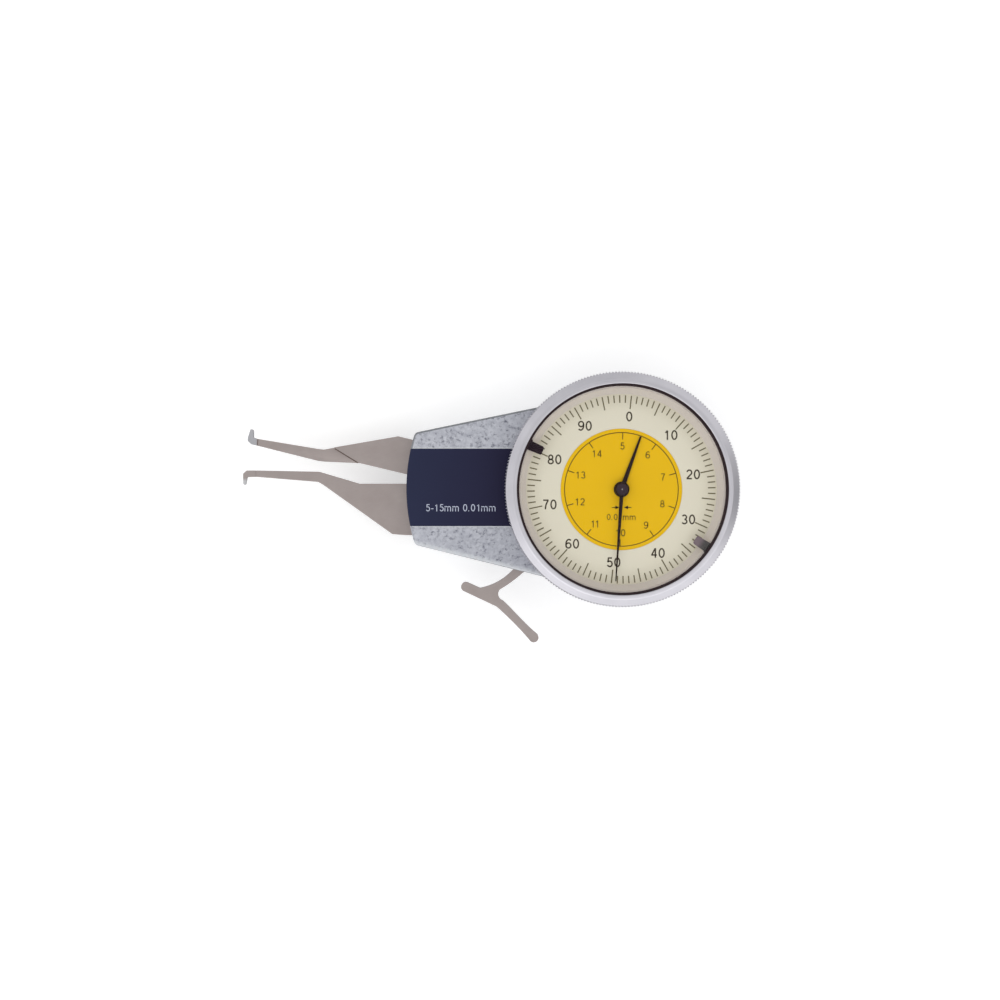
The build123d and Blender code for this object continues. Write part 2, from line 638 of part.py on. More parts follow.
def finger_lever():
    """Stamped lever: screwed to the tail, out through the slot, with a curved bar for the finger."""
    bar_left_top = (-41.21, -25.35)
    bar_left_low = (-42.23, -27.73)
    corner = (-37.77, -26.89)
    neck_left = (-28.66, -21.8)
    neck_right = (-25.55, -22.26)
    notch_top = (-32.33, -27.3)
    notch_low = (-31.42, -30.41)
    bar_end_top = (-22.18, -39.46)
    bar_end_low = (-24.29, -41.02)
    heel = (-33.26, -31.95)
    edges = [
        ThreePointArc(bar_left_low, (-42.95, -26.4), bar_left_top),
        Line(bar_left_top, corner),
        Spline(corner, (-33.26, -25.35), neck_left),
        Line(neck_left, neck_right),
        Spline(neck_right, (-28.85, -25.0), notch_top),
        ThreePointArc(notch_top, (-32.79, -28.58), notch_low),
        Spline(notch_low, (-29.29, -32.49), (-25.19, -36.73), bar_end_top),
        ThreePointArc(bar_end_top, (-22.3, -41.5), bar_end_low),
        Spline(bar_end_low, (-29.59, -35.34), heel),
        Line(heel, bar_left_low),
    ]
    pad_length = LEVER_PAD_END - LEVER_PAD_START
    pad_at = on_tail(LEVER_PAD_START + pad_length / 2)
    pad = RectangleRounded(pad_length, 2 * TAIL_HALF, LEVER_PAD_CORNER_R)
    pad = Pos(pad_at.X, pad_at.Y) * Rot(0, 0, TAIL_DEG) * pad
    neck = ((neck_left[0] + neck_right[0]) / 2, (neck_left[1] + neck_right[1]) / 2)
    root = on_tail(TAIL_SCREWS_ALONG[1], -TAIL_HALF / 2)
    stem = trace(Spline(neck, (-24.6, -14.0), root), LEVER_STEM_W)
    lever = layer(make_face(Curve() + edges) + stem + pad, ARM_TOP, LEVER_TOP)
    for at in TAIL_SCREWS:
        lever -= disc(SMALL_SCREW_R + HOLE_CLEAR, ARM_TOP, LEVER_TOP, at)
    return lever


def pivot_bush():
    return tube(BUSH_R, SHAFT_R + RUN_CLEAR, ARM_Z - BUSH_PROUD, ARM_TOP + BUSH_PROUD, PIVOT)


# Train

def involute(angle):
    return tan(angle) - angle


def half_tooth(teeth, module, radius):
    """Half the angle that a tooth takes at a radius, in radians."""
    base_r = teeth * module / 2 * cos(radians(PRESSURE_DEG))
    at_pitch = pi / (2 * teeth) * (1 - TOOTH_SLACK)
    return at_pitch + involute(radians(PRESSURE_DEG)) - involute(acos(min(1.0, base_r / radius)))


def gear_face(teeth, module, addendum, phase):
    """Toothed outline whose first tooth is centred at the phase angle in degrees."""
    pitch_r = teeth * module / 2
    root_r = pitch_r - DEDENDUM * module
    tip_r = pitch_r + addendum * module
    base_r = max(root_r, pitch_r * cos(radians(PRESSURE_DEG)))
    points = []
    for tooth in range(teeth):
        centre = phase + 360 * tooth / teeth
        flank = [(r, degrees(half_tooth(teeth, module, max(r, base_r)))) for r in (root_r, tip_r)]
        points += [polar(r, centre - half) for r, half in flank]
        points += [polar(r, centre + half) for r, half in reversed(flank)]
    return outline(points)


def outer_mesh_phase(driver_teeth, driver_phase, driven_teeth, line_deg):
    """Phase of an outside gear that meshes with its driver along a line from driver to driven."""
    share = (line_deg - driver_phase) * driver_teeth / 360
    return line_deg + 180 - (0.5 - share) * 360 / driven_teeth


def inner_mesh_phase(ring_teeth, pinion_teeth, line_deg):
    """Phase of a pinion inside a ring gear that has a tooth at 0 degrees."""
    share = line_deg * ring_teeth / 360
    return line_deg - (share + 0.5) * 360 / pinion_teeth


FIRST_PHASE = inner_mesh_phase(SECTOR_TEETH, FIRST_PINION_TEETH, TAIL_DEG)
SECOND_PHASE = outer_mesh_phase(
    FIRST_WHEEL_TEETH, FIRST_PHASE, SECOND_PINION_TEETH, bearing_deg(FIRST, SECOND)
)
CENTRE_PHASE = outer_mesh_phase(
    SECOND_WHEEL_TEETH, SECOND_PHASE, CENTRE_PINION_TEETH, bearing_deg(SECOND, CENTRE)
)
REDUCTION_PHASE = outer_mesh_phase(HAND_PINION_TEETH, 0, REDUCTION_TEETH, REDUCTION_DEG)
COUNTER_PHASE = outer_mesh_phase(HAND_PINION_TEETH, REDUCTION_PHASE, COUNTER_TEETH, REDUCTION_DEG + 180)


def pie(first_deg, last_deg, radius):
    """Wedge from the centre that reaches past the radius."""
    middle = (first_deg + last_deg) / 2
    return outline([(0, 0)] + [polar(2 * radius, angle) for angle in (first_deg, middle, last_deg)])


def toothed_sector():
    """Open frame under the tail with teeth on the inside of its rim."""
    pitch_r = SECTOR_TEETH * MODULE / 2
    root_r = pitch_r + DEDENDUM * MODULE
    rim_r = root_r + SECTOR_RIM
    first_deg = TAIL_DEG - TRAVEL_DEG - SECTOR_SPARE_DEG
    last_deg = TAIL_DEG + SECTOR_SPARE_DEG
    blank = Circle(rim_r) & pie(first_deg - SECTOR_SPOKE_DEG, last_deg + SECTOR_SPOKE_DEG, rim_r)
    window = (Circle(root_r) - Circle(TAIL_REACH)) & pie(first_deg, last_deg, rim_r)
    flat = blank - window - Circle((BUSH_R + HUB_R) / 2)
    pitch_deg = 360 / SECTOR_TEETH
    for tooth in range(ceil(first_deg / pitch_deg), floor(last_deg / pitch_deg) + 1):
        flat += sector_tooth(tooth * pitch_deg, pitch_r, root_r)
    sector = layer(Pos(PIVOT_X, PIVOT_Y) * flat, ARM_Z - SECTOR_T, ARM_Z)
    for at in TAIL_SCREWS:
        sector -= disc(SMALL_SCREW_R + HOLE_CLEAR, ARM_Z - SECTOR_T, ARM_Z, at)
    return sector


def sector_tooth(centre, pitch_r, root_r):
    """Tooth that points inwards: its flanks are the spaces of an outside gear of the same pitch."""
    tip_r = pitch_r - WHEEL_ADDENDUM * MODULE
    pitch_deg = 360 / SECTOR_TEETH
    slack_deg = pitch_deg / 2 * TOOTH_SLACK
    points = []
    for side, radii in ((-1, (root_r, tip_r)), (1, (tip_r, root_r))):
        for r in radii:
            half = pitch_deg / 2 - slack_deg - degrees(half_tooth(SECTOR_TEETH, MODULE, r))
            sink = TOOTH_SINK if r == root_r else 0
            points.append(polar(r + sink, centre + side * half))
    return outline(points)


def wheel_window(pitch_r, bore_r, quarter):
    """Opening between two spokes of a wheel, with a rim side of two straight lengths."""
    rim_r = RIM_SHARE * pitch_r
    spoke_deg = degrees(SPOKE_W / 2 / rim_r)
    corner_r = bore_r + WINDOW_START * SPOKE_W
    angles = [90 * quarter + spoke_deg, 90 * quarter + 45, 90 * quarter + 90 - spoke_deg]
    return outline([polar(corner_r, 90 * quarter + 45)] + [polar(rim_r, angle) for angle in angles])


def crossed_wheel(teeth, module, phase, bore_r, low, at):
    """Wheel with four spokes between hub and rim."""
    pitch_r = teeth * module / 2
    flat = gear_face(teeth, module, WHEEL_ADDENDUM, phase) - Circle(bore_r)
    for quarter in range(4):
        flat -= wheel_window(pitch_r, bore_r, quarter)
    return layer(Pos(at.X, at.Y) * flat, low, low + WHEEL_T)


def train_wheel(teeth, phase, low, at):
    """Wheel pressed on an arbor of the train."""
    return crossed_wheel(teeth, MODULE, phase, ARBOR_R, low, at)


def arbor(at, teeth, phase, pinion_low, pinion_top, top):
    """Arbor with a cut pinion and a thin pivot at each end."""
    leaves = gear_face(teeth, MODULE, PINION_ADDENDUM, phase)
    body = layer(Pos(at.X, at.Y) * leaves, pinion_low - PINION_SPARE, pinion_top + PINION_SPARE)
    body += disc(ARBOR_R, LUG_LOW + END_PLAY, UPPER_PLATE_Z - END_PLAY, at)
    return body + disc(PIVOT_R, LOWER_PLATE_Z, top, at)


def first_arbor():
    top = UPPER_PLATE_Z + MOVEMENT_PLATE_T
    return arbor(FIRST, FIRST_PINION_TEETH, FIRST_PHASE, ARM_Z - SECTOR_T, ARM_Z, top)


def second_arbor():
    top = UPPER_PLATE_Z + MOVEMENT_PLATE_T
    return arbor(SECOND, SECOND_PINION_TEETH, SECOND_PHASE, FIRST_WHEEL_Z, FIRST_WHEEL_Z + WHEEL_T, top)


def centre_arbor():
    """Its thin end goes on up through the cannon pinion and carries the long hand."""
    top = LONG_HAND_Z + HAND_T
    return arbor(CENTRE, CENTRE_PINION_TEETH, CENTRE_PHASE, SECOND_WHEEL_Z, SECOND_WHEEL_Z + WHEEL_T, top)


def movement_plate(radius, low, holes):
    """Round plate with holes, each given by its place and radius."""
    plate = disc(radius, low, low + MOVEMENT_PLATE_T)
    for at, hole_r in holes:
        plate -= disc(hole_r, low, low + MOVEMENT_PLATE_T, at)
    return plate


def movement_lower_plate():
    holes = [(at, PIVOT_R + RUN_CLEAR) for at in (FIRST, SECOND, CENTRE)]
    holes += [(at, SCREW_R + HOLE_CLEAR) for at in LUG_SCREWS]
    holes += [(at, SCREW_R + BOSS_WALL + BODY_GAP) for at in RIM_SCREWS]
    return movement_plate(LOWER_PLATE_R, LOWER_PLATE_Z, holes)


def movement_upper_plate():
    holes = [(at, PIVOT_R + RUN_CLEAR) for at in (FIRST, SECOND, CENTRE)]
    holes += [(at, SMALL_SCREW_R + HOLE_CLEAR) for at in PILLARS]
    holes += [(REDUCTION, STUD_R)]
    return movement_plate(UPPER_PLATE_R, UPPER_PLATE_Z, holes)


def pillar(at):
    hole_low = UPPER_PLATE_Z - PILLAR_SCREW_DEPTH
    post = disc(PILLAR_R, LUG_LOW, UPPER_PLATE_Z, at)
    return post - disc(SMALL_SCREW_R + HOLE_CLEAR, hole_low, UPPER_PLATE_Z, at)


def cannon_pinion():
    """Friction-tight on the centre arbor: it drives the reduction wheel."""
    leaves = gear_face(HAND_PINION_TEETH, LOW_MODULE, PINION_ADDENDUM, 0)
    body = layer(leaves, CANNON_Z, CANNON_Z + WHEEL_T)
    body += disc(CANNON_R, CANNON_Z, SHORT_HAND_Z + HAND_T + BODY_GAP / 2)
    return body - disc(PIVOT_R, CANNON_Z, LONG_HAND_Z)


def reduction_wheel():
    """Large wheel on the cannon pinion's level with a small pinion above it."""
    bore_r = STUD_R + RUN_CLEAR
    wheel = crossed_wheel(REDUCTION_TEETH, LOW_MODULE, REDUCTION_PHASE, bore_r, CANNON_Z, REDUCTION)
    leaves = gear_face(HAND_PINION_TEETH, HIGH_MODULE, PINION_ADDENDUM, REDUCTION_PHASE) - Circle(bore_r)
    return wheel + layer(Pos(REDUCTION.X, REDUCTION.Y) * leaves, CANNON_Z + WHEEL_T, COUNTER_Z + WHEEL_T)


def reduction_stud():
    top = COUNTER_Z + WHEEL_T + END_PLAY
    return disc(STUD_R, UPPER_PLATE_Z, top, REDUCTION) + disc(PIN_R, top, top + STUD_HEAD_T, REDUCTION)


def counter_wheel():
    """Wheel with a tube round the cannon pinion: the short hand is pressed on its end."""
    bore_r = CANNON_R + RUN_CLEAR
    wheel = crossed_wheel(COUNTER_TEETH, HIGH_MODULE, COUNTER_PHASE, bore_r, COUNTER_Z, CENTRE)
    return wheel + tube(TUBE_R, bore_r, COUNTER_Z, SHORT_HAND_Z + HAND_T)


def hand(length, angle, boss_r, bore_r, low, widths):
    """Flat tapered pointer on a round boss."""
    root_y, tip_y = widths[0] / 2, widths[1] / 2
    pointer = outline([(0, -root_y), (length, -tip_y), (length, tip_y), (0, root_y)])
    flat = pointer + Circle(boss_r) - Circle(bore_r)
    return Rot(0, 0, angle) * layer(flat, low, low + HAND_T)


def short_hand():
    boss_r = TUBE_R + SHORT_BOSS_WALL
    return hand(SHORT_HAND_LENGTH, SHORT_HAND_DEG, boss_r, TUBE_R, SHORT_HAND_Z, SHORT_HAND_WIDTHS)


def long_hand():
    """Thin pointer under a turned cap that closes the end of the arbor."""
    length = SPACER_FOOT_R - LONG_HAND_TIP_GAP
    pointer = hand(length, LONG_HAND_DEG, HUB_CAP_R, PIVOT_R, LONG_HAND_Z, LONG_HAND_WIDTHS)
    low = LONG_HAND_Z + HAND_T
    top = low + HUB_CAP_H
    edge_r, edge_z = HUB_CAP_R - HUB_CAP_EDGE, top - HUB_CAP_EDGE
    profile = [(0, low), (HUB_CAP_R, low), (HUB_CAP_R, edge_z), (edge_r, top), (0, top)]
    return pointer + turned(profile)


# Dial

def dial_base():
    """Plate on the neck that stays still under both dials."""
    base = tube(BEZEL_LEDGE_R - DIAL_BASE_PLAY, TUBE_R + BODY_GAP, NECK_TOP, DIAL_BASE_TOP)
    for at in BASE_SCREWS:
        base -= flush_hole(at, DIAL_BASE_TOP, DIAL_BASE_T, SMALL_SCREW_R, SMALL_HEAD_R, False)
    return base


def base_screw(at):
    length = DIAL_BASE_T + BASE_SCREW_DEPTH
    return Pos(at.X, at.Y) * countersunk(DIAL_BASE_TOP, length, SMALL_SCREW_R, SMALL_HEAD_R, False)


def inner_dial():
    return tube(INNER_DIAL_R, TUBE_R + BODY_GAP, DIAL_BASE_TOP, DIAL_Z + DIAL_T)


def dial_ring():
    return tube(BEZEL_MOUTH_R - DIAL_PLAY, INNER_DIAL_R + FLAT_PLAY, DIAL_Z, DIAL_Z + DIAL_T)


# Springs

def return_spring():
    """Coil round the pivot boss: one leg bears on the tail's pin, the other on the housing's post."""
    height = SPRING_TURNS * SPRING_PITCH
    start_deg = leg_start_deg(SPRING_PIN_AT, SPRING_PIN_R)
    coil_path = Helix(SPRING_PITCH, height, SPRING_COIL_R)
    section = Plane(coil_path @ 0, z_dir=coil_path % 0) * Rectangle(WIRE_W, WIRE_W)
    coil = Rot(0, 0, start_deg) * sweep(section, coil_path, is_frenet=True)
    coil = Pos(PIVOT_X, PIVOT_Y, SPRING_LOW_Z) * coil
    low_leg = spring_leg(start_deg, -1, SPRING_LOW_Z, LOW_LEG_LENGTH)
    high_leg = spring_leg(start_deg + 360 * SPRING_TURNS, 1, SPRING_LOW_Z + height, HIGH_LEG_LENGTH)
    return coil + low_leg + high_leg


def leg_start_deg(pin, pin_r):
    """Angle at which a straight leg leaves the coil so that it touches a pin on one side."""
    reach = hypot(pin.X - PIVOT_X, pin.Y - PIVOT_Y)
    lever = SPRING_COIL_R - (pin_r + WIRE_W / 2 + HOLE_CLEAR)
    return bearing_deg(PIVOT, pin) + degrees(acos(lever / reach))


def spring_leg(angle, way, height, length):
    """Straight wire that leaves the coil as a tangent and starts a little inside it."""
    start = polar(SPRING_COIL_R, angle, PIVOT)
    along = Vector(-sin(radians(angle)) * way, cos(radians(angle)) * way)
    middle = start + along * (length - WIRE_W) / 2
    return Pos(middle.X, middle.Y, height) * Rot(0, 0, angle) * Box(WIRE_W, length + WIRE_W, WIRE_W)


def hairspring():
    """Flat spiral that keeps the train's backlash on one side."""
    steps = HAIR_STEPS * HAIR_TURNS
    inner_r = COLLET_R + FLAT_PLAY
    spiral = [(inner_r + HAIR_GROWTH * i / HAIR_STEPS, 360 * i / HAIR_STEPS) for i in range(steps + 1)]
    inner = [polar(r, angle) for r, angle in spiral]
    outer = [polar(r + HAIR_T, angle) for r, angle in spiral]
    return layer(outline(inner + outer[::-1]), HAIR_Z, HAIR_Z + HAIR_H)


def hairspring_stud():
    spring_end_r = COLLET_R + FLAT_PLAY + HAIR_GROWTH * HAIR_TURNS + HAIR_T
    return disc(STUD_POST_R, LUG_LOW, HAIR_Z + HAIR_H, polar(spring_end_r + STUD_POST_R, 0))


# Everything, one file for each piece or group of equal pieces

def save_case():
    save("housing", housing())
    save("rear_cover", rear_cover())
    plate_low = DECK_TOP - PLATE_SINK
    save("name_plate", layer(name_plate_outline(HOLE_CLEAR), plate_low, plate_low + PLATE_T))
    save("bezel", bezel())
    save("bezel_snap_ring", snap_ring())
    save("spacer_ring", spacer_ring())
    save("crystal", crystal())
    save("crystal_gasket", crystal_gasket())
    save("low_limit_marker", limit_marker(LOW_MARKER_DEG))
    save("high_limit_marker", limit_marker(HIGH_MARKER_DEG))


def save_arms():
    save("moving_arm", moving_arm())
    save("moving_contact", moving_contact())
    save("fixed_arm", fixed_arm())
    save("fixed_contact", fixed_contact())
    save("finger_lever", finger_lever())
    save("pivot_bush", pivot_bush())
    save("pivot_shaft", disc(SHAFT_R, COVER_T / 2, DECK_LOW + SHAFT_SEAT, PIVOT))
    save("stop_pin", disc(PIN_R, ARM_Z + END_PLAY, DECK_LOW + PIN_SEAT, STOP_PIN_AT))
    save("spring_post", disc(PIN_R, ARM_TOP + BODY_GAP, DECK_LOW + PIN_SEAT, SPRING_POST_AT))
    pin_top = SPRING_LOW_Z + WIRE_W * 2
    save("spring_pin", disc(SPRING_PIN_R, ARM_TOP - SPRING_PIN_SEAT, pin_top, SPRING_PIN_AT))
    save("return_spring", return_spring())


def save_movement():
    save("toothed_sector", toothed_sector())
    save("first_arbor", first_arbor())
    save("first_wheel", train_wheel(FIRST_WHEEL_TEETH, FIRST_PHASE, FIRST_WHEEL_Z, FIRST))
    save("second_arbor", second_arbor())
    save("second_wheel", train_wheel(SECOND_WHEEL_TEETH, SECOND_PHASE, SECOND_WHEEL_Z, SECOND))
    save("centre_arbor", centre_arbor())
    save("movement_lower_plate", movement_lower_plate())
    save("movement_upper_plate", movement_upper_plate())
    save_group("movement_pillars", [pillar(at) for at in PILLARS])
    save("cannon_pinion", cannon_pinion())
    save("reduction_wheel", reduction_wheel())
    save("reduction_stud", reduction_stud())
    save("counter_wheel", counter_wheel())
    save("hairspring", hairspring())
    save("hairspring_collet", tube(COLLET_R, ARBOR_R, HAIR_Z, HAIR_Z + HAIR_H))
    save("hairspring_stud", hairspring_stud())


def save_dial():
    save("short_hand", short_hand())
    save("long_hand", long_hand())
    save("dial_base", dial_base())
    save("inner_dial", inner_dial())
    save("dial_ring", dial_ring())


def save_screws():
    big = {"radius": SCREW_R, "head_r": SCREW_HEAD_R, "head_t": SCREW_HEAD_T, "down": False}
    small = {"radius": SMALL_SCREW_R, "head_r": SMALL_HEAD_R, "head_t": SMALL_HEAD_T, "down": True}
    save_group("cover_screws", [cover_screw(at) for at in COVER_SCREWS])
    head_low = ARM_Z - SCREW_HEAD_T
    pieces = [cheese_screw(at, head_low, ARM_SCREW_LENGTH, **big) for at in ARM_SCREWS]
    save_group("fixed_arm_screws", pieces)
    head_low = LOWER_PLATE_Z - SCREW_HEAD_T
    save_group("plate_screws", [cheese_screw(at, head_low, LUG_SCREW_LENGTH, **big) for at in LUG_SCREWS])
    head_low = UPPER_PLATE_Z + MOVEMENT_PLATE_T
    length = MOVEMENT_PLATE_T + PILLAR_SCREW_DEPTH
    save_group("pillar_screws", [cheese_screw(at, head_low, length, **small) for at in PILLARS])
    length = LEVER_T + ARM_T + SECTOR_T - SCREW_SHORT
    save_group("tail_screws", [cheese_screw(at, LEVER_TOP, length, **small) for at in TAIL_SCREWS])
    save_group("dial_base_screws", [base_screw(at) for at in BASE_SCREWS])


def build():
    os.makedirs("parts", exist_ok=True)
    save_case()
    save_arms()
    save_movement()
    save_dial()
    save_screws()


build()
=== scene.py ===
# %% [markdown]
# A dial caliper gauge for inside sizes lies on its back and is seen from straight above.
# A round dial under glass sits in a turned ring with a knurled rim. A tapered handle with hammered
# paint and a dark plate joins it, and two flat ground arms end in small outward tips.
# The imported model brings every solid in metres, with the dial's axis at the origin and the rear
# face at height 0. What follows dresses those solids and adds what paint and print bring.

# %% Load the frame
import json
from math import atan2, cos, pi, radians, sin

import bmesh
import bpy
from mathutils import Matrix, Vector


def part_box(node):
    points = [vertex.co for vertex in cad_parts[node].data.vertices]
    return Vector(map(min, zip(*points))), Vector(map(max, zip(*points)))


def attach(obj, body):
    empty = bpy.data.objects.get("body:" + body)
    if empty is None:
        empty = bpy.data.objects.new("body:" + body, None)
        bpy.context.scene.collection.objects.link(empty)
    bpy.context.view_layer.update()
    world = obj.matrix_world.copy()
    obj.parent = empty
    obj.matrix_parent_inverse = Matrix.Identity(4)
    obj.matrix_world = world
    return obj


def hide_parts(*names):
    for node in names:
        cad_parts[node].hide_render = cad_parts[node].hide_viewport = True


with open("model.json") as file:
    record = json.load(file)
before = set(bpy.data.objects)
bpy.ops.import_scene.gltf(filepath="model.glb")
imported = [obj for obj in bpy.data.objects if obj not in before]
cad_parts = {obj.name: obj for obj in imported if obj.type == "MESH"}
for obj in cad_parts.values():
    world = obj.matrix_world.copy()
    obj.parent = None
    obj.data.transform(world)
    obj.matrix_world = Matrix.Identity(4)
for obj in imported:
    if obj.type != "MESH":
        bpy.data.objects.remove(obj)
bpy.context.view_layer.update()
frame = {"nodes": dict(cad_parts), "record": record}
nodes = frame["nodes"]
MM = 0.001

# %% [markdown]
# The camera hangs 360 mm above the arms and looks straight down. It isn't over the dial's centre but
# over the handle, so the tall bezel shows a little more of its left side than of its right. One
# number ties the picture to the object: at the arms' height the square picture spans 276 mm.

# %% Camera
CAMERA_OVER = Vector((-32.3, -2.82))
ARM_MIDDLE_Z = 9.0
CAMERA_ABOVE_ARMS = 360.0
PICTURE_SPAN = 276.0
SENSOR = 36.0

camera_data = bpy.data.cameras.new("camera")
camera_data.sensor_width = SENSOR
camera_data.lens = SENSOR * CAMERA_ABOVE_ARMS / PICTURE_SPAN
camera_data.clip_start = 0.01
camera = bpy.data.objects.new("camera", camera_data)
camera.location = Vector((CAMERA_OVER.x, CAMERA_OVER.y, ARM_MIDDLE_Z + CAMERA_ABOVE_ARMS)) * MM
bpy.context.scene.collection.objects.link(camera)
bpy.context.scene.camera = camera
bpy.context.scene.view_settings.view_transform = "Standard"
print("lens in mm:", round(camera_data.lens, 2))

# %% [markdown]
# Shader graphs are easier to read as sums. A small class wraps a socket, so that a mask can be
# written as (noise - 0.5) * 4, and each operator adds its Math node. Colours go through Mix nodes.

# %% Shader arithmetic
class Wire:
    """A socket of a node tree that can be added, multiplied and compared like a number."""

    def __init__(self, tree, socket):
        self.tree = tree
        self.socket = socket

    def math(self, operation, *values):
        node = self.tree.nodes.new("ShaderNodeMath")
        node.operation = operation
        for socket, value in zip(node.inputs, values):
            plug(self.tree, socket, value)
        return Wire(self.tree, node.outputs[0])

    def __add__(self, other):
        return self.math("ADD", self, other)

    def __radd__(self, other):
        return self.math("ADD", other, self)

    def __sub__(self, other):
        return self.math("SUBTRACT", self, other)

    def __rsub__(self, other):
        return self.math("SUBTRACT", other, self)

    def __mul__(self, other):
        return self.math("MULTIPLY", self, other)

    def __rmul__(self, other):
        return self.math("MULTIPLY", other, self)

    def __truediv__(self, other):
        return self.math("DIVIDE", self, other)

    def __rtruediv__(self, other):
        return self.math("DIVIDE", other, self)

    def clamped(self):
        return self.math("MINIMUM", self.math("MAXIMUM", self, 0.0), 1.0)

    def above(self, threshold, width):
        """0 below the threshold and 1 above it, with a soft step of the given width."""
        return ((self - (threshold - width / 2)) / width).clamped()


def plug(tree, socket, value):
    """Links a wire to a socket, or sets the socket to a plain value."""
    if isinstance(value, Wire):
        tree.links.new(value.socket, socket)
    elif socket.type == "RGBA":
        socket.default_value = (*value, 1.0)
    else:
        socket.default_value = value


def srgb(red, green, blue):
    """Colour as read in a picture, from 0 to 255, turned to the linear values that shaders use."""
    shares = [level / 255 for level in (red, green, blue)]
    return tuple(s / 12.92 if s <= 0.04045 else ((s + 0.055) / 1.055) ** 2.4 for s in shares)


# %% [markdown]
# Each finish is one material. The class below opens it, gives the object's own coordinates in
# millimetres, and makes any other node from its type, its settings and its inputs.

# %% Finish builder
class Graph:
    """A node tree and one short way to add any node to it."""

    def __init__(self, tree):
        self.tree = tree

    def node(self, kind, output=0, settings=None, **inputs):
        """Adds a node, sets it up, fills its inputs by name or place and returns one output."""
        made = self.tree.nodes.new(kind)
        for key, value in (settings or {}).items():
            setattr(made, key, value)
        for name, value in inputs.items():
            key = int(name[1:]) if name[0] == "i" and name[1:].isdigit() else name.replace("_", " ")
            plug(self.tree, made.inputs[key], value)
        return Wire(self.tree, made.outputs[output])

    def blend(self, share, low, high):
        """Colour between two, by a share from 0 to 1."""
        return self.node("ShaderNodeMix", 2, {"data_type": "RGBA"}, i0=share, i6=low, i7=high)

    def vector(self, operation, *values):
        inputs = {f"i{place}": value for place, value in enumerate(values)}
        return self.node("ShaderNodeVectorMath", 0, {"operation": operation}, **inputs)


class Finish(Graph):
    """A material with its main shader, and the coordinates and textures that finishes share."""

    def __init__(self, name, **plain):
        self.material = bpy.data.materials.new(name)
        self.material.use_nodes = True
        super().__init__(self.material.node_tree)
        self.shader = self.tree.nodes["Principled BSDF"]
        self.set(**plain)

    def set(self, **values):
        """Sets or links inputs of the main shader, so that Base_Color stands for Base Color."""
        for name, value in values.items():
            plug(self.tree, self.shader.inputs[name.replace("_", " ")], value)

    def place(self, scale=(1, 1, 1), rotation=(0, 0, 0)):
        """The object's own coordinates in millimetres, turned and then stretched."""
        point = self.node("ShaderNodeTexCoord", "Object")
        turned = self.node("ShaderNodeMapping", 0, Vector=point, Rotation=rotation)
        return self.vector("MULTIPLY", turned, tuple(share / MM for share in scale))

    def noise(self, place, scale, detail=4.0, roughness=0.5):
        return self.node(
            "ShaderNodeTexNoise", 0, Vector=place, Scale=scale, Detail=detail, Roughness=roughness
        )

    def shaken(self, place, scale, amount):
        """The place moved about by noise, for lines that wander."""
        cloud = self.node("ShaderNodeTexNoise", 1, Vector=place, Scale=scale, Detail=3.0)
        shift = self.vector("MULTIPLY", self.vector("SUBTRACT", cloud, (0.5, 0.5, 0.5)), (amount,) * 3)
        return self.vector("ADD", place, shift)

    def bump(self, height, strength, distance):
        bumped = self.node("ShaderNodeBump", 0, Height=height, Strength=strength, Distance=distance * MM)
        self.set(Normal=bumped)


# %% [markdown]
# The handle and the rear cover carry hammer finish: a silver paint that flows into shallow dimples
# while it dries, with darker spots and short threads of pigment between them. Soft noise gives the
# mottling, finer noise gives the spots, and the distance to the cell edges of a Voronoi texture,
# pulled about by noise, gives the broken threads.

# %% Hammered paint
PAINT_LIGHT = srgb(194, 196, 204)
PAINT_MID = srgb(166, 168, 178)
PAINT_SPOT = srgb(92, 94, 108)
# The next three colours are painted light and shade on the handle: a painted highlight, painted shade towards
# the lower right, and painted shade on the edges.
PAINT_HIGHLIGHT = srgb(214, 217, 221)
SHADED_PAINT = srgb(142, 144, 154)
PAINT_EDGE_SHADE = srgb(108, 111, 113)
CORNER = Vector((-55.2, -14.9))
LOW_SLOPE = radians(-13.93)
# Width of the painted highlight along the handle's lower edge, in millimetres.
LIT_BAND_WIDTH = 1.7
PLATE_NAVY = srgb(36, 40, 66)


def hammered_paint():
    """The paint's colour and its dimples, on any piece."""
    paint = Finish("hammered_paint", Metallic=0.2, Roughness=0.42)
    place = paint.place()
    bent = paint.shaken(place, 1.1, 1.1)
    edge = paint.node("ShaderNodeTexVoronoi", 0, {"feature": "DISTANCE_TO_EDGE"}, Vector=bent, Scale=0.9)
    dimple = {"feature": "SMOOTH_F1"}
    cells = paint.node("ShaderNodeTexVoronoi", 0, dimple, Vector=bent, Scale=0.9, Smoothness=0.6)
    thread = (1 - edge.above(0.09, 0.16)) * paint.noise(place, 0.62, 4.0, 0.6).above(0.57, 0.14)
    spots = paint.noise(place, 1.25, 2.0, 0.55).above(0.62, 0.14)
    grain = paint.noise(place, 3.0, 4.0, 0.65)
    mottle = paint.noise(place, 0.8, 4.0, 0.65).above(0.5, 0.36)
    base = paint.blend(mottle, PAINT_MID, PAINT_LIGHT)
    share = (thread * 0.55 + spots * 0.6 + grain.above(0.66, 0.1) * 0.25).clamped()
    paint.colour = paint.blend(share, base, PAINT_SPOT)
    paint.set(Base_Color=paint.colour)
    paint.bump(cells * -1.0 + grain * 0.15, 0.5, 0.10)
    return paint


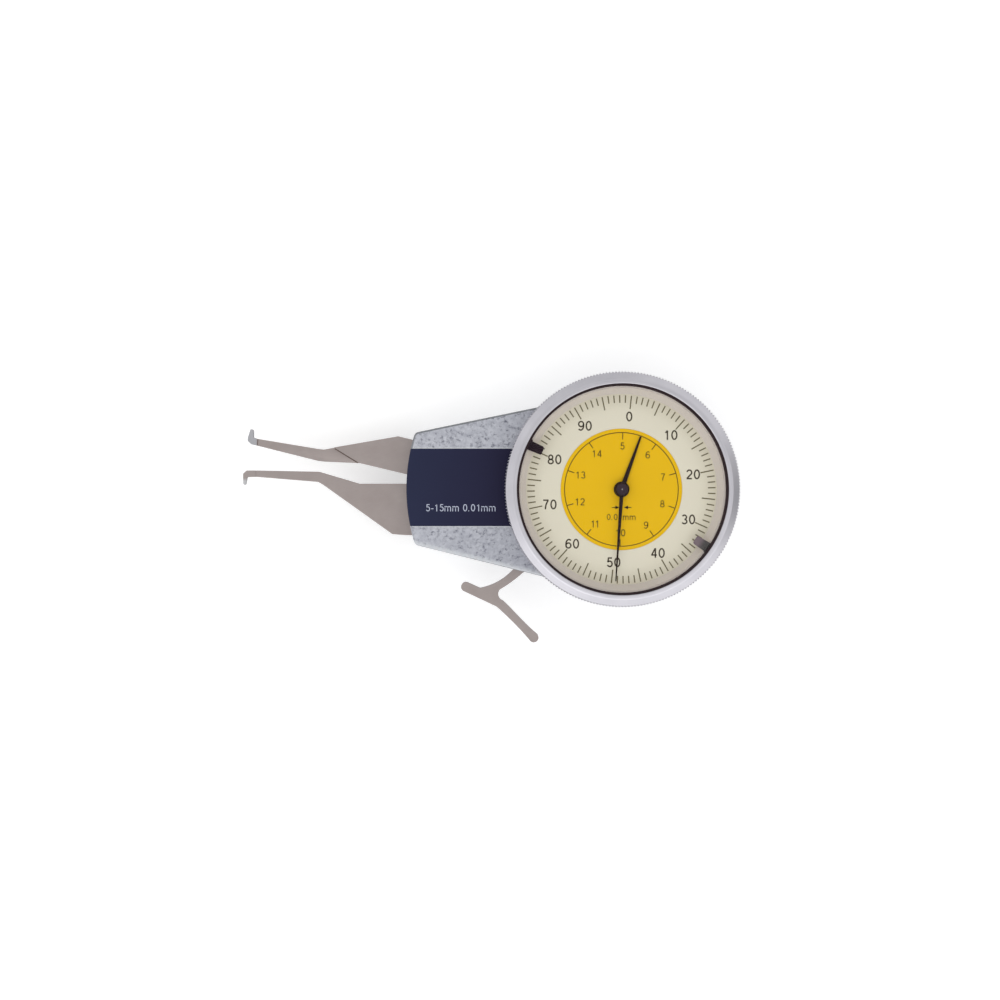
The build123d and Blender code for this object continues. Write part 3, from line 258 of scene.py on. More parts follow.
def handle_paint():
    """The same paint with painted shade on the upper edge, at the foot of the lower edge and towards the
    lower right near the dial, painted highlights on the lower edge and along the plate's rim, and navy where
    the plate wraps.
    """
    paint = hammered_paint()
    paint.material.name = "handle_paint"
    x, y = (paint.node("ShaderNodeSeparateXYZ", axis, Vector=paint.place()) for axis in ("X", "Y"))
    facing = paint.node("ShaderNodeTexCoord", "Normal")
    left, back, up = (paint.node("ShaderNodeSeparateXYZ", axis, Vector=facing) for axis in ("X", "Y", "Z"))
    # Painted shade: the rounded upper edge, which faces away from the lamps, is darkened by its normal.
    rim = up.above(0.2, 0.2) * (1 - up.above(0.93, 0.08))
    dark = rim * (back * 0.95 - left * 0.5).above(0.35, 0.3)
    inwards = (x - CORNER.x) * -sin(LOW_SLOPE) + (y - CORNER.y) * cos(LOW_SLOPE)
    uneven = paint.noise(paint.place(), 1.1, 3.0, 0.6)
    # Painted highlight: a pale band along the lower edge, where the lamps at the lower left catch its
    # rounding.
    pale = (1 - (inwards + uneven * 1.4).above(LIT_BAND_WIDTH, 0.9)) * up.above(0.15, 0.1)
    # Painted shade: a thin dark line at the foot of the lower edge.
    edge_foot_shade = (1 - (inwards + uneven * 0.5).above(0.36, 0.2)) * up.above(0.15, 0.1)
    # Painted highlight: a pale line along the rim of the plate's recess, except behind the plate.
    beside = y.math("ABSOLUTE", y - PLATE_MIDDLE_Y) - PLATE_HALF
    plate_rim_highlight = (1 - (beside + uneven * 0.6).above(0.58, 0.35)) * (1 - x.above(BEHIND_PLATE, 1.0))
    plate_rim_highlight = plate_rim_highlight * up.above(0.8, 0.1)
    # Painted shade: the handle darkens towards its lower side near the dial.
    shade = (1 - y.above(-11.0, 5.0)) * x.above(-50.0, 14.0)
    colour = paint.blend(shade * 0.22, paint.colour, SHADED_PAINT)
    colour = paint.blend(plate_rim_highlight * 0.75, colour, PAINT_HIGHLIGHT)
    colour = paint.blend(pale * 0.7, colour, PAINT_HIGHLIGHT)
    # Both edge marks are painted shade.
    edge_shade = (dark * (uneven * 0.8 + 0.35) + edge_foot_shade * 0.75).clamped()
    colour = paint.blend(edge_shade, colour, PAINT_EDGE_SHADE)
    wrapped = (1 - x.above(CORNER.x, 0.3)) * (1 - beside.above(0.0, 0.1)) * up.above(0.1, 0.1)
    paint.set(Base_Color=paint.blend(wrapped, colour, PLATE_NAVY))
    return paint


# %% [markdown]
# Ground steel shows fine straight scratches. A noise texture stretched along one direction makes
# them: it varies quickly across the grinding and slowly along it.

# %% Ground and turned metals
def ground_steel(name, colour, dark, turn=0.0, shine=0.36, metal=0.55):
    """Steel with fine scratches in one direction, turned by an angle."""
    steel = Finish(name, Metallic=metal)
    along = steel.place(scale=(0.35, 14.0, 6.0), rotation=(0, 0, turn))
    scratches = steel.noise(along, 1.0, 5.0, 0.65)
    clouds = steel.noise(steel.place(), 0.22, 3.0, 0.5)
    share = ((scratches - 0.5) * 0.9 + (clouds - 0.5) * 0.8 + 0.35).clamped()
    steel.set(Base_Color=steel.blend(share, colour, dark), Roughness=(scratches * 0.12 + shine).clamped())
    steel.bump(scratches, 0.12, 0.02)
    return steel


def dial_radius(finish):
    """Distance from the dial's axis and height, both in millimetres."""
    along, across, height = (
        finish.node("ShaderNodeSeparateXYZ", axis, Vector=finish.place()) for axis in ("X", "Y", "Z")
    )
    squares = along * along + across * across
    return squares.math("SQRT", squares), height


def turned_metal(name, colour, dark, shine=0.26):
    """Metal cut on a lathe about the dial's axis: its fine rings depend on radius and height alone."""
    ring = Finish(name, Metallic=0.85)
    radius, height = dial_radius(ring)
    section = ring.node("ShaderNodeCombineXYZ", 0, X=radius * 4.5, Y=height * 4.5, Z=0.0)
    rings = ring.noise(section, 1.0, 5.0, 0.65)
    haze = ring.noise(ring.place(), 0.15, 3.0, 0.5)
    share = ((rings - 0.5) * 1.1 + (haze - 0.5) * 0.6 + 0.35).clamped()
    ring.set(Base_Color=ring.blend(share, colour, dark), Roughness=(rings * 0.12 + shine).clamped())
    ring.bump(rings, 0.14, 0.02)
    return ring


# %% [markdown]
# Smooth paints, print and rubber still vary a little: a faint grain in colour and roughness keeps
# them from looking like plastic film. Dark paints get a weak surface reflection, since a strong one
# would turn black to grey under a pale sky.

# %% Paints, dial faces and rubber
def fine_paint(name, colour, shade, roughness=0.4, reflect=0.5):
    """Smooth paint, print or rubber with faint dust and clouds in it."""
    paint = Finish(name, Specular_IOR_Level=reflect)
    dust = paint.noise(paint.place(), 2.0, 4.0, 0.6)
    cloud = paint.noise(paint.place(), 0.12, 2.0, 0.5)
    share = ((dust - 0.5) * 0.5 + (cloud - 0.5) * 0.6 + 0.3).clamped()
    paint.colour = paint.blend(share, colour, shade)
    paint.set(Base_Color=paint.colour, Roughness=(dust * 0.12 + roughness).clamped())
    paint.bump(dust, 0.05, 0.02)
    return paint


# %% [markdown]
# Two flat pieces aren't one colour all over. The outer dial carries painted shade from the bezel's wall,
# duller and warmer where the outer scale stands, and the handle's plate carries painted shade towards the
# dial, turning from slate blue at the nose to a deep violet blue.

# %% Dial face and plate
def dial_face():
    """Cream paint with painted shade, duller towards the rim where the outer scale stands."""
    face = fine_paint("dial_cream", srgb(230, 223, 206), srgb(225, 217, 199), 0.5, reflect=0.2)
    # Painted shade: the outer dial darkens towards the bezel's wall.
    outer = dial_radius(face)[0].above(23.0, 4.4)
    face.set(Base_Color=face.blend(outer * 0.8, face.colour, srgb(214, 206, 188)))
    return face


def plate_paint():
    """Navy paint with painted shade that turns darker and violet towards the dial."""
    paint = fine_paint("navy_paint", srgb(34, 40, 69), srgb(28, 33, 59), 0.42, reflect=0.2)
    # Painted shade: the plate darkens towards the bezel.
    along = paint.node("ShaderNodeSeparateXYZ", "X", Vector=paint.place()).above(-42.0, 34.0)
    paint.set(Base_Color=paint.blend(along, paint.colour, srgb(21, 16, 50)))
    return paint


# %% [markdown]
# The crystal is thin and flat, so light passes it almost unbent. A plain transparent shader lets
# lamps shine through it, and a weak mirror on the outer side of each face gives the gloss of glass.

# %% Glass
def clear_glass():
    """Transparent shader with a weak mirror on outer sides."""
    glass = Finish("crystal_glass")
    shine = glass.node("ShaderNodeBsdfGlossy", 0, Roughness=0.03)
    clear = glass.node("ShaderNodeBsdfTransparent", 0, Color=(0.985, 0.99, 0.985))
    behind = glass.node("ShaderNodeNewGeometry", "Backfacing")
    gloss = glass.node("ShaderNodeFresnel", 0, IOR=1.22) * (1 - behind)
    both = glass.node("ShaderNodeMixShader", 0, i0=gloss, i1=clear, i2=shine)
    plug(glass.tree, glass.tree.nodes["Material Output"].inputs["Surface"], both)
    glass.tree.nodes.remove(glass.shader)
    return glass


# %% [markdown]
# One finish for each material slot of the record. The steel of the arms looks warm and brownish on
# the real gauge, while the measuring tips and the bezel are neutral.

# %% Finishes by slot
FINISHES = {
    "hammertone": hammered_paint(),
    "navy_paint": plate_paint(),
    "satin_metal": turned_metal("satin_turned_ring", srgb(216, 214, 220), srgb(182, 181, 189)),
    "arm_steel": ground_steel("arm_ground_steel", srgb(170, 160, 157), srgb(151, 140, 137), radians(-15)),
    "tip_steel": ground_steel("tip_ground_steel", srgb(184, 184, 188), srgb(158, 158, 163), radians(90)),
    "spring_steel": ground_steel("spring_steel", srgb(170, 170, 174), srgb(140, 140, 146), 0, 0.3, 0.9),
    "screw_steel": ground_steel("plated_screw_steel", srgb(190, 190, 194), srgb(160, 160, 166), 0, 0.28, 0.9),
    "brass": turned_metal("brass", srgb(205, 172, 98), srgb(178, 143, 72), 0.3),
    "pale_paint": fine_paint("spacer_paint", srgb(216, 207, 202), srgb(206, 196, 190), 0.55),
    "black_rubber": fine_paint("black_rubber", srgb(46, 32, 36), srgb(36, 25, 28), 0.6, reflect=0.2),
    "marker_paint": fine_paint("marker_paint", srgb(36, 18, 31), srgb(28, 15, 24), 0.45, reflect=0.12),
    "hand_black": fine_paint("hand_black", srgb(36, 20, 16), srgb(28, 15, 12), 0.38, reflect=0.15),
    "plate_aluminium": turned_metal("plate_aluminium", srgb(200, 200, 200), srgb(180, 180, 180), 0.3),
    "dial_yellow": fine_paint("dial_yellow", srgb(239, 190, 20), srgb(233, 184, 16), 0.5, reflect=0.1),
    "dial_cream": dial_face(),
    "crystal": clear_glass(),
}
slot_of = {row["node"]: row["material_slot"] for row in frame["record"]["subparts"]}
for name, piece in nodes.items():
    piece.data.materials.clear()
    piece.data.materials.append(FINISHES[slot_of[name]].material)
print("finishes:", len(FINISHES), "on", len(nodes), "nodes")

# %% [markdown]
# Every new piece rides on a body of the gauge and wears the finish of one slot, or one of its own.
# Round forms are shaded smooth, and edges past an angle stay crisp.

# %% Helpers for new pieces
SHARP_ANGLE = radians(28)


def link(name, mesh, body, slot, finish=None):
    """Puts a mesh in the scene as a piece that rides on a body and wears a finish."""
    piece = bpy.data.objects.new(name, mesh)
    bpy.context.scene.collection.objects.link(piece)
    mesh.materials.clear()
    mesh.materials.append((finish or FINISHES[slot]).material)
    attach(piece, body)
    print(name, "faces:", len(mesh.polygons))
    return piece


def mesh_of(work, name, angle=SHARP_ANGLE):
    """Ends the work on a bmesh: its faces turn outwards and it becomes a smooth mesh."""
    bmesh.ops.recalc_face_normals(work, faces=work.faces)
    mesh = bpy.data.meshes.new(name)
    work.to_mesh(mesh)
    work.free()
    mesh.polygons.foreach_set("use_smooth", [True] * len(mesh.polygons))
    mesh.set_sharp_from_angle(angle=angle)
    return mesh


# %% [markdown]
# A solid from CAD has knife edges, and a real one never has: a tumbled or painted edge is a small
# round that catches the light. Each visible solid is copied, its triangles are merged back to flat
# faces, and a Bevel modifier rounds the sharp edges by a tenth of a millimetre or so. The long hand
# has a paint of its own: the cap over its hub is painted a little lighter grey than the pointer, a painted
# highlight.

# %% Rounded copies of solids
FLAT_ANGLE = radians(0.6)


def merged(node):
    """The node's triangles, joined at their corners and merged back to flat faces."""
    work = bmesh.new()
    work.from_mesh(nodes[node].data)
    bmesh.ops.remove_doubles(work, verts=work.verts, dist=0.0005 * MM)
    bmesh.ops.dissolve_limit(work, angle_limit=FLAT_ANGLE, verts=work.verts, edges=work.edges)
    return work


def body_of(node):
    """Body that a node of the CAD belongs to."""
    bodies = frame["record"]["behaviour"]["bodies"]
    return next(body for body, members in bodies.items() if node in members)


def rounded(node, width, segments=2, work=None, finish=None):
    """Copy of a node, or of the work on it, with rounded edges, that stands for the node."""
    mesh = mesh_of(work or merged(node), node + "_finished")
    piece = link(node + "_finished", mesh, body_of(node), slot_of[node], finish)
    edge = piece.modifiers.new("edge_round", "BEVEL")
    edge.width = width * MM
    edge.segments = segments
    edge.limit_method = "ANGLE"
    edge.angle_limit = SHARP_ANGLE
    edge.harden_normals = True
    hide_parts(node)
    return piece


CONTACT_ROUND = 0.10
EDGE_ROUNDS = {
    "moving_arm": 0.12, "fixed_arm": 0.12, "finger_lever": 0.22, "name_plate": 0.06,
    "moving_contact": CONTACT_ROUND, "long_hand": 0.05, "short_hand": 0.05,
}
HUB_CAP_R = 1.45
# Painted highlight: the hub cap is a lighter grey than the rest of the hand.
capped_hand = fine_paint("capped_hand_paint", srgb(36, 20, 16), srgb(28, 15, 12), 0.38, reflect=0.15)
cap_highlight = 1 - dial_radius(capped_hand)[0].above(HUB_CAP_R, 0.3)
capped_hand.set(Base_Color=capped_hand.blend(cap_highlight, capped_hand.colour, srgb(54, 40, 50)))
for node, width in EDGE_ROUNDS.items():
    rounded(node, width, finish=capped_hand if node == "long_hand" else None)

# %% [markdown]
# The housing wears the handle's paint, which needs to know where the plate lies. Its painted highlight along
# the lower edge and its painted shade along the upper edge are both in the paint, so the copy only has its
# edges rounded.

# %% Housing
PLATE_BOX = [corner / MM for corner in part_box("name_plate")]
PLATE_MIDDLE_Y = (PLATE_BOX[0].y + PLATE_BOX[1].y) / 2
PLATE_HALF = (PLATE_BOX[1].y - PLATE_BOX[0].y) / 2
BEHIND_PLATE = PLATE_BOX[1].x - 1.0
HOUSING_ROUND = 0.3
rounded("housing", HOUSING_ROUND, 3, finish=handle_paint())

# %% [markdown]
# Two pieces change colour along their length. The fixed arm's tip is brown like its arm as far as
# the bend, and its point is bright. The high limit marker is a mauve grey that darkens outwards.
# Both markers slide in a groove on a foot. Only the finger shows, so the foot's inner edge, which
# would peep out beside the gasket, is moved outwards under it.

# %% Tip and limit markers
POINT_FROM_Y = 2.8
GREY_UP_TO_R = 25.2
MARKER_ROUND = 0.08
FINGER_HALF = 1.3
UNDER_GASKET = 0.5
fixed_tip = ground_steel("fixed_tip_steel", srgb(170, 160, 157), srgb(151, 140, 137))
tip_y = fixed_tip.node("ShaderNodeSeparateXYZ", "Y", Vector=fixed_tip.place())
point_share = 1 - tip_y.above(POINT_FROM_Y, 0.8)
fixed_tip.set(Base_Color=fixed_tip.blend(point_share, srgb(165, 155, 152), srgb(196, 196, 198)))
rounded("fixed_contact", CONTACT_ROUND, finish=fixed_tip)

grey_marker = fine_paint("grey_marker_paint", srgb(118, 102, 110), srgb(104, 90, 97), 0.45, reflect=0.25)
outer_share = dial_radius(grey_marker)[0].above(GREY_UP_TO_R, 1.2)
grey_marker.set(Base_Color=grey_marker.blend(outer_share, srgb(120, 104, 112), srgb(80, 76, 76)))


def slim_footed(node):
    """Work on a limit marker whose foot, wider than its finger, ends under the gasket."""
    foot_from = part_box("crystal_gasket")[1].x / MM - UNDER_GASKET
    work = merged(node)
    middle = (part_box(node)[0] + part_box(node)[1]).to_2d().normalized()
    for vert in work.verts:
        place = vert.co.to_2d() / MM
        if abs(place.cross(middle)) > FINGER_HALF and place.length < foot_from:
            vert.co.xy = place.normalized() * foot_from * MM
    return work


rounded("high_limit_marker", MARKER_ROUND, work=slim_footed("high_limit_marker"), finish=grey_marker)
rounded("low_limit_marker", MARKER_ROUND, work=slim_footed("low_limit_marker"))

# %% [markdown]
# The bezel is what the eye meets first. A closed profile is spun about the dial's axis with two
# steps for each knurl tooth. The columns of the rim between the teeth are then drawn inwards, so the
# teeth are real grooves that run out into the chamfers above and below.

# %% Bezel
KNURL_TEETH = 232
KNURL_DEEP = 0.45
BORE_R = 28.05
BEZEL_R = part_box("bezel")[1].x / MM
BEZEL_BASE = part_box("bezel")[0].z / MM
BEZEL_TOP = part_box("bezel")[1].z / MM
MOUTH_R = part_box("crystal_gasket")[1].x / MM
DIAL_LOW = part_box("dial_ring")[0].z / MM
print("bezel radius and mouth:", round(BEZEL_R, 2), round(MOUTH_R, 2), "top:", round(BEZEL_TOP, 2))


def spun(work, points, steps, closed=False):
    """Turns a line of (radius, height) points about the dial's axis, in millimetres."""
    verts = [work.verts.new((r * MM, 0, z * MM)) for r, z in points]
    pairs = list(zip(verts, verts[1:])) + ([(verts[-1], verts[0])] if closed else [])
    edges = [work.edges.new(pair) for pair in pairs]
    bmesh.ops.spin(
        work, geom=verts + edges, cent=(0, 0, 0), axis=(0, 0, 1), angle=2 * pi, steps=steps, use_merge=True
    )


def bezel_profile():
    """Closed section of the ring: foot, knurled rim, cone, flat lip, mouth, ledge and bore."""
    foot_r = BEZEL_R - 0.9
    flat_r = MOUTH_R + 1.15
    ledge_r = MOUTH_R - 0.8
    base, top = BEZEL_BASE, BEZEL_TOP
    outside = [
        (BORE_R, base), (foot_r - 0.2, base), (foot_r, base + 0.2), (foot_r, base + 1.1),
        (foot_r + 0.15, base + 1.3), (BEZEL_R - KNURL_DEEP, base + 1.35), (BEZEL_R, base + 1.8),
        (BEZEL_R, top - 1.6), (BEZEL_R - KNURL_DEEP, top - 1.22),
    ]
    front = [
        (flat_r + 0.25, top - 0.16), (flat_r + 0.11, top - 0.05), (flat_r - 0.05, top), (MOUTH_R + 0.15, top),
        (MOUTH_R + 0.04, top - 0.05), (MOUTH_R, top - 0.15),
    ]
    inside = [(MOUTH_R, DIAL_LOW), (ledge_r, DIAL_LOW), (ledge_r, DIAL_LOW - 0.5), (BORE_R, DIAL_LOW - 0.5)]
    return outside + front + inside


work = bmesh.new()
spun(work, bezel_profile(), 2 * KNURL_TEETH, closed=True)
for vert in work.verts:
    column = round(atan2(vert.co.y, vert.co.x) / (pi / KNURL_TEETH))
    if column % 2 and abs(vert.co.to_2d().length / MM - BEZEL_R) < 0.01:
        vert.co.xy *= 1 - KNURL_DEEP / BEZEL_R
BEZEL_SHARP = radians(24)
bezel = link("knurled_bezel", mesh_of(work, "knurled_bezel", BEZEL_SHARP), "bezel_set", "satin_metal")
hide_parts("bezel")

# %% [markdown]
# Dial print is ink that stands a hair above the paint. Each scale is one mesh: a thin bar is made
# once, and a loop turns copies of it round the dial. Every fifth mark of the outer scale is long.

# %% Dial scales
DIAL_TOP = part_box("dial_ring")[1].z / MM
INNER_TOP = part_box("inner_dial")[1].z / MM
INK_T = 0.015
OUTER_ZERO = 6.15
OUTER_MARKS = 100
OUTER_PITCH = 360 / OUTER_MARKS
OUTER_MARK_FROM, FIFTH_MARK_FROM, OUTER_MARK_TO, OUTER_MARK_W = 23.05, 21.5, 25.05, 0.32
INNER_ZERO = 1.4
INNER_MARKS = 10
INNER_PITCH = 360 / INNER_MARKS
INNER_MARK_FROM, INNER_MARK_TO, INNER_MARK_W = 13.3, 15.1, 0.26
INNER_RING = (15.0, 15.24)
SCALE_INK = fine_paint("scale_ink", srgb(112, 103, 76), srgb(100, 92, 68), 0.5, reflect=0.2)
NUMERAL_INK = fine_paint("numeral_ink", srgb(76, 66, 54), srgb(66, 57, 47), 0.5, reflect=0.2)
INNER_INK = fine_paint("inner_dial_ink", srgb(104, 80, 20), srgb(92, 70, 18), 0.5, reflect=0.2)


def dial_direction(clockwise):
    """Unit vector for an angle in degrees that runs clockwise from the top."""
    return Vector((sin(radians(clockwise)), cos(radians(clockwise))))


def add_bar(work, clockwise, inner_r, outer_r, width, low):
    """Thin box of ink along a radius."""
    turn = Matrix.Rotation(radians(-clockwise), 4, "Z")
    place = Matrix.Translation(Vector((0, (inner_r + outer_r) / 2, low + INK_T / 2)) * MM)
    size = Matrix.Diagonal((width * MM, (outer_r - inner_r) * MM, INK_T * MM, 1))
    bmesh.ops.create_cube(work, size=1.0, matrix=turn @ place @ size)


def add_ring(work, inner_r, outer_r, low, steps=144):
    """Flat ring of ink."""
    top = low + INK_T
    spun(work, [(inner_r, low), (outer_r, low), (outer_r, top), (inner_r, top)], steps, closed=True)


work = bmesh.new()
for mark in range(OUTER_MARKS):
    start = OUTER_MARK_FROM if mark % 5 else FIFTH_MARK_FROM
    add_bar(work, OUTER_ZERO + mark * OUTER_PITCH, start, OUTER_MARK_TO, OUTER_MARK_W, DIAL_TOP)
link("outer_scale_marks", mesh_of(work, "outer_scale_marks"), "bezel_set", "dial_cream", SCALE_INK)

work = bmesh.new()
for mark in range(INNER_MARKS):
    turned_by = INNER_ZERO + mark * INNER_PITCH
    add_bar(work, turned_by, INNER_MARK_FROM, INNER_MARK_TO, INNER_MARK_W, INNER_TOP)
add_ring(work, *INNER_RING, INNER_TOP)
link("inner_scale_marks", mesh_of(work, "inner_scale_marks"), "case", "dial_yellow", INNER_INK)

# %% [markdown]
# The numerals are drawn as a sign painter would, stroke by stroke, because the plain narrow figures
# of a gauge differ from a computer's standard font. Each stroke is a line of points in a box whose
# capitals are 1 high. Raised to a thin wall and made thick, it becomes a band of ink.

# %% Figures as strokes
def arc(x, y, across, up, start, end):
    """Points along part of an ellipse, between two angles in degrees."""
    count = max(3, round(abs(end - start) / 18))
    angles = [radians(start + (end - start) * step / count) for step in range(count + 1)]
    return [(x + across * cos(angle), y + up * sin(angle)) for angle in angles]


SIX = [arc(0.31, 0.32, 0.25, 0.26, 0, 360), arc(0.36, 0.50, 0.30, 0.44, 48, 180) + [(0.06, 0.32)]]
FIGURES = {
    "0": (0.78, [arc(0.31, 0.5, 0.25, 0.44, 0, 360)]),
    "1": (0.78, [[(0.37, 0.0), (0.37, 0.97)], [(0.15, 0.74), (0.28, 0.82), (0.37, 0.96)]]),
    "2": (0.78, [arc(0.31, 0.69, 0.24, 0.25, 168, -38) + [(0.08, 0.10)], [(0.03, 0.06), (0.57, 0.06)]]),
    "3": (0.78, [arc(0.30, 0.72, 0.21, 0.22, 155, -85), arc(0.30, 0.28, 0.25, 0.22, 85, -155)]),
    "4": (0.78, [[(0.44, 0.0), (0.44, 1.0)], [(0.42, 0.95), (0.07, 0.32)], [(0.02, 0.29), (0.59, 0.29)]]),
    "5": (0.78, [[(0.54, 0.94), (0.18, 0.94), (0.11, 0.50)], arc(0.30, 0.34, 0.25, 0.28, 142, -155)]),
    "6": (0.78, SIX),
    "7": (0.78, [[(0.04, 0.94), (0.58, 0.94)], [(0.55, 0.92), (0.42, 0.70), (0.31, 0.42), (0.25, 0.0)]]),
    "8": (0.78, [arc(0.31, 0.72, 0.20, 0.22, 0, 360), arc(0.31, 0.28, 0.25, 0.22, 0, 360)]),
    "9": (0.78, [[(0.62 - x, 1 - y) for x, y in stroke] for stroke in SIX]),
    "m": (1.16, [[(0.02, 0.0), (0.02, 0.72)]] + [
        arc(x, 0.44, 0.21, 0.23, 180, 0) + [(x + 0.21, 0.0)] for x in (0.23, 0.65)
    ]),
    ".": (0.39, [[(0.06, 0.0), (0.06, 0.13)]]),
    "-": (0.46, [[(0.0, 0.36), (0.34, 0.36)]]),
    " ": (0.39, []),
}
print("figures:", "".join(FIGURES))

# %% [markdown]
# Words are set centred on a place, and two ones in a row stand closer. A stroke that ends where it
# starts is closed to a loop.

# %% Setting words
ONES_CLOSER = 0.16
LAST_GAP = 0.16


def set_words(words, at, height, stretch=1.0):
    """Strokes in millimetres for words that are centred on a place, with capitals of a height."""
    advances = sum(FIGURES[letter][0] for letter in words)
    cursor = -(advances - LAST_GAP - ONES_CLOSER * words.count("11")) / 2
    strokes = []
    for place, letter in enumerate(words):
        if words[: place + 1].endswith("11"):
            cursor -= ONES_CLOSER
        advance, lines = FIGURES[letter]
        wide = height * stretch
        for line in lines:
            strokes.append([(at.x + (cursor + x) * wide, at.y + (y - 0.5) * height) for x, y in line])
        cursor += advance
    return strokes


def ink_bands(name, strokes, weight, low):
    """Flat bands of ink along the strokes, each as wide as the weight, in millimetres."""
    work = bmesh.new()
    for stroke in strokes:
        loop = (Vector(stroke[0]) - Vector(stroke[-1])).length < 1e-4
        verts = [work.verts.new((x * MM, y * MM, low * MM)) for x, y in stroke[: -1 if loop else None]]
        for pair in list(zip(verts, verts[1:])) + ([(verts[-1], verts[0])] if loop else []):
            work.edges.new(pair)
    raised = bmesh.ops.extrude_edge_only(work, edges=work.edges[:])["geom"]
    top = [item for item in raised if isinstance(item, bmesh.types.BMVert)]
    bmesh.ops.translate(work, verts=top, vec=(0, 0, INK_T * MM))
    walls = bpy.data.objects.new(name, mesh_of(work, name))
    bpy.context.scene.collection.objects.link(walls)
    thick = walls.modifiers.new("weight", "SOLIDIFY")
    thick.thickness = weight * MM
    thick.offset = 0.0
    thick.use_even_offset = True
    bpy.context.view_layer.update()
    finished = walls.evaluated_get(bpy.context.evaluated_depsgraph_get())
    solid = bpy.data.meshes.new_from_object(finished)
    bpy.data.objects.remove(walls)
    again = bmesh.new()
    again.from_mesh(solid)
    return mesh_of(again, name)


OUTER_NUMERAL_R, OUTER_NUMERAL_H, OUTER_WEIGHT = 19.5, 2.58, 0.39
INNER_NUMERAL_R, INNER_NUMERAL_H, INNER_WEIGHT = 11.55, 1.9, 0.25
UNIT_AT = Vector((0.0, -7.33))
UNIT_H, UNIT_STRETCH, UNIT_WEIGHT = 1.62, 0.98, 0.21
strokes = []
for tens in range(10):
    at = dial_direction(OUTER_ZERO + tens * 10 * OUTER_PITCH) * OUTER_NUMERAL_R
    strokes += set_words(str(tens * 10), at, OUTER_NUMERAL_H)
mesh = ink_bands("outer_numerals", strokes, OUTER_WEIGHT, DIAL_TOP)
link("outer_numerals", mesh, "bezel_set", "dial_cream", NUMERAL_INK)

strokes = []
for step in range(INNER_MARKS):
    at = dial_direction(INNER_ZERO + step * INNER_PITCH) * INNER_NUMERAL_R
    strokes += set_words(str(5 + step), at, INNER_NUMERAL_H)
mesh = ink_bands("inner_numerals", strokes, INNER_WEIGHT, INNER_TOP)
link("inner_numerals", mesh, "case", "dial_yellow", INNER_INK)

strokes = set_words("0.01mm", UNIT_AT, UNIT_H, UNIT_STRETCH)
mesh = ink_bands("unit_words", strokes, UNIT_WEIGHT, INNER_TOP)
link("unit_words", mesh, "case", "dial_yellow", INNER_INK)

# %% [markdown]
# The plate carries one plain line, the range and the value of a division, in pale grey paint.

# %% Range line on the plate
PLATE_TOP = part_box("name_plate")[1].z / MM
RANGE_AT = Vector((-42.8, -4.9))
RANGE_H, RANGE_STRETCH, RANGE_WEIGHT = 1.95, 0.93, 0.22
PLATE_INK = fine_paint("plate_ink", srgb(188, 194, 212), srgb(172, 178, 198), 0.45)
strokes = set_words("5-15mm 0.01mm", RANGE_AT, RANGE_H, RANGE_STRETCH)
mesh = ink_bands("range_words", strokes, RANGE_WEIGHT, PLATE_TOP)
link("range_words", mesh, "case", "navy_paint", PLATE_INK)

# %% [markdown]
# Two small arrows under the hub point at each other across the hand. Each is a line with a
# three-sided head. Their place is on the inner dial, so they stay while the bezel turns.

# %% Arrows
ARROW_Y = -4.8
LINE_OUT, LINE_LENGTH, LINE_W = 1.95, 1.3, 0.22
HEAD_OUT, HEAD_HALF_W, HEAD_LENGTH = 1.34, 0.58, 0.72
ARROW_Z = INNER_TOP + INK_T / 2
work = bmesh.new()
for side in (-1, 1):
    line_at = Matrix.Translation(Vector((side * LINE_OUT + 0.05, ARROW_Y, ARROW_Z)) * MM)
    line_size = Matrix.Diagonal((LINE_LENGTH * MM, LINE_W * MM, INK_T * MM, 1))
    bmesh.ops.create_cube(work, size=1.0, matrix=line_at @ line_size)
    head_at = Matrix.Translation(Vector((side * HEAD_OUT + 0.08, ARROW_Y, ARROW_Z)) * MM)
    turn = Matrix.Rotation(side * pi / 2, 4, "Z")
    head_size = Matrix.Diagonal((HEAD_HALF_W * MM, HEAD_LENGTH * MM, INK_T * MM, 1))
    bmesh.ops.create_cone(
        work, cap_ends=True, segments=3, radius1=1.0, radius2=1.0, depth=1.0,
        matrix=head_at @ turn @ head_size,
    )
ARROW_INK = fine_paint("arrow_ink", srgb(52, 38, 16), srgb(44, 32, 14), 0.5, reflect=0.2)
link("direction_arrows", mesh_of(work, "direction_arrows"), "case", "dial_yellow", ARROW_INK)

# %% [markdown]
# The end of the arbor shows as a bright point in the middle of the black hub. It is a low dome,
# spun from a short profile whose first point lies on the axis.

# %% Hub pin
HUB_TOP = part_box("long_hand")[1].z / MM
PIN_R = 0.2
PIN_PROUD = 0.1
PIN_FOOT = HUB_TOP - 0.02
work = bmesh.new()
dome = [(0, HUB_TOP + PIN_PROUD), (PIN_R / 2, HUB_TOP + PIN_PROUD * 0.8), (PIN_R, PIN_FOOT), (0, PIN_FOOT)]
spun(work, dome, 24)
bmesh.ops.remove_doubles(work, verts=work.verts, dist=0.001 * MM)
link("hub_pin", mesh_of(work, "hub_pin"), "centre_train", "screw_steel")

# %% [markdown]
# Where the hard tip is brazed to the moving arm a thin brown seam shows, and where the arm is ground
# to half its thickness the foot of the step gets a dark line of painted shade. Both are thin strips on the
# steel.

# %% Seam and painted step shade
BLADE_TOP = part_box("moving_contact")[1].z / MM
BRAZE_AND_STEP_SHADE = fine_paint("brown_braze_and_step_shade", srgb(112, 98, 92), srgb(96, 84, 80), 0.5, reflect=0.2)


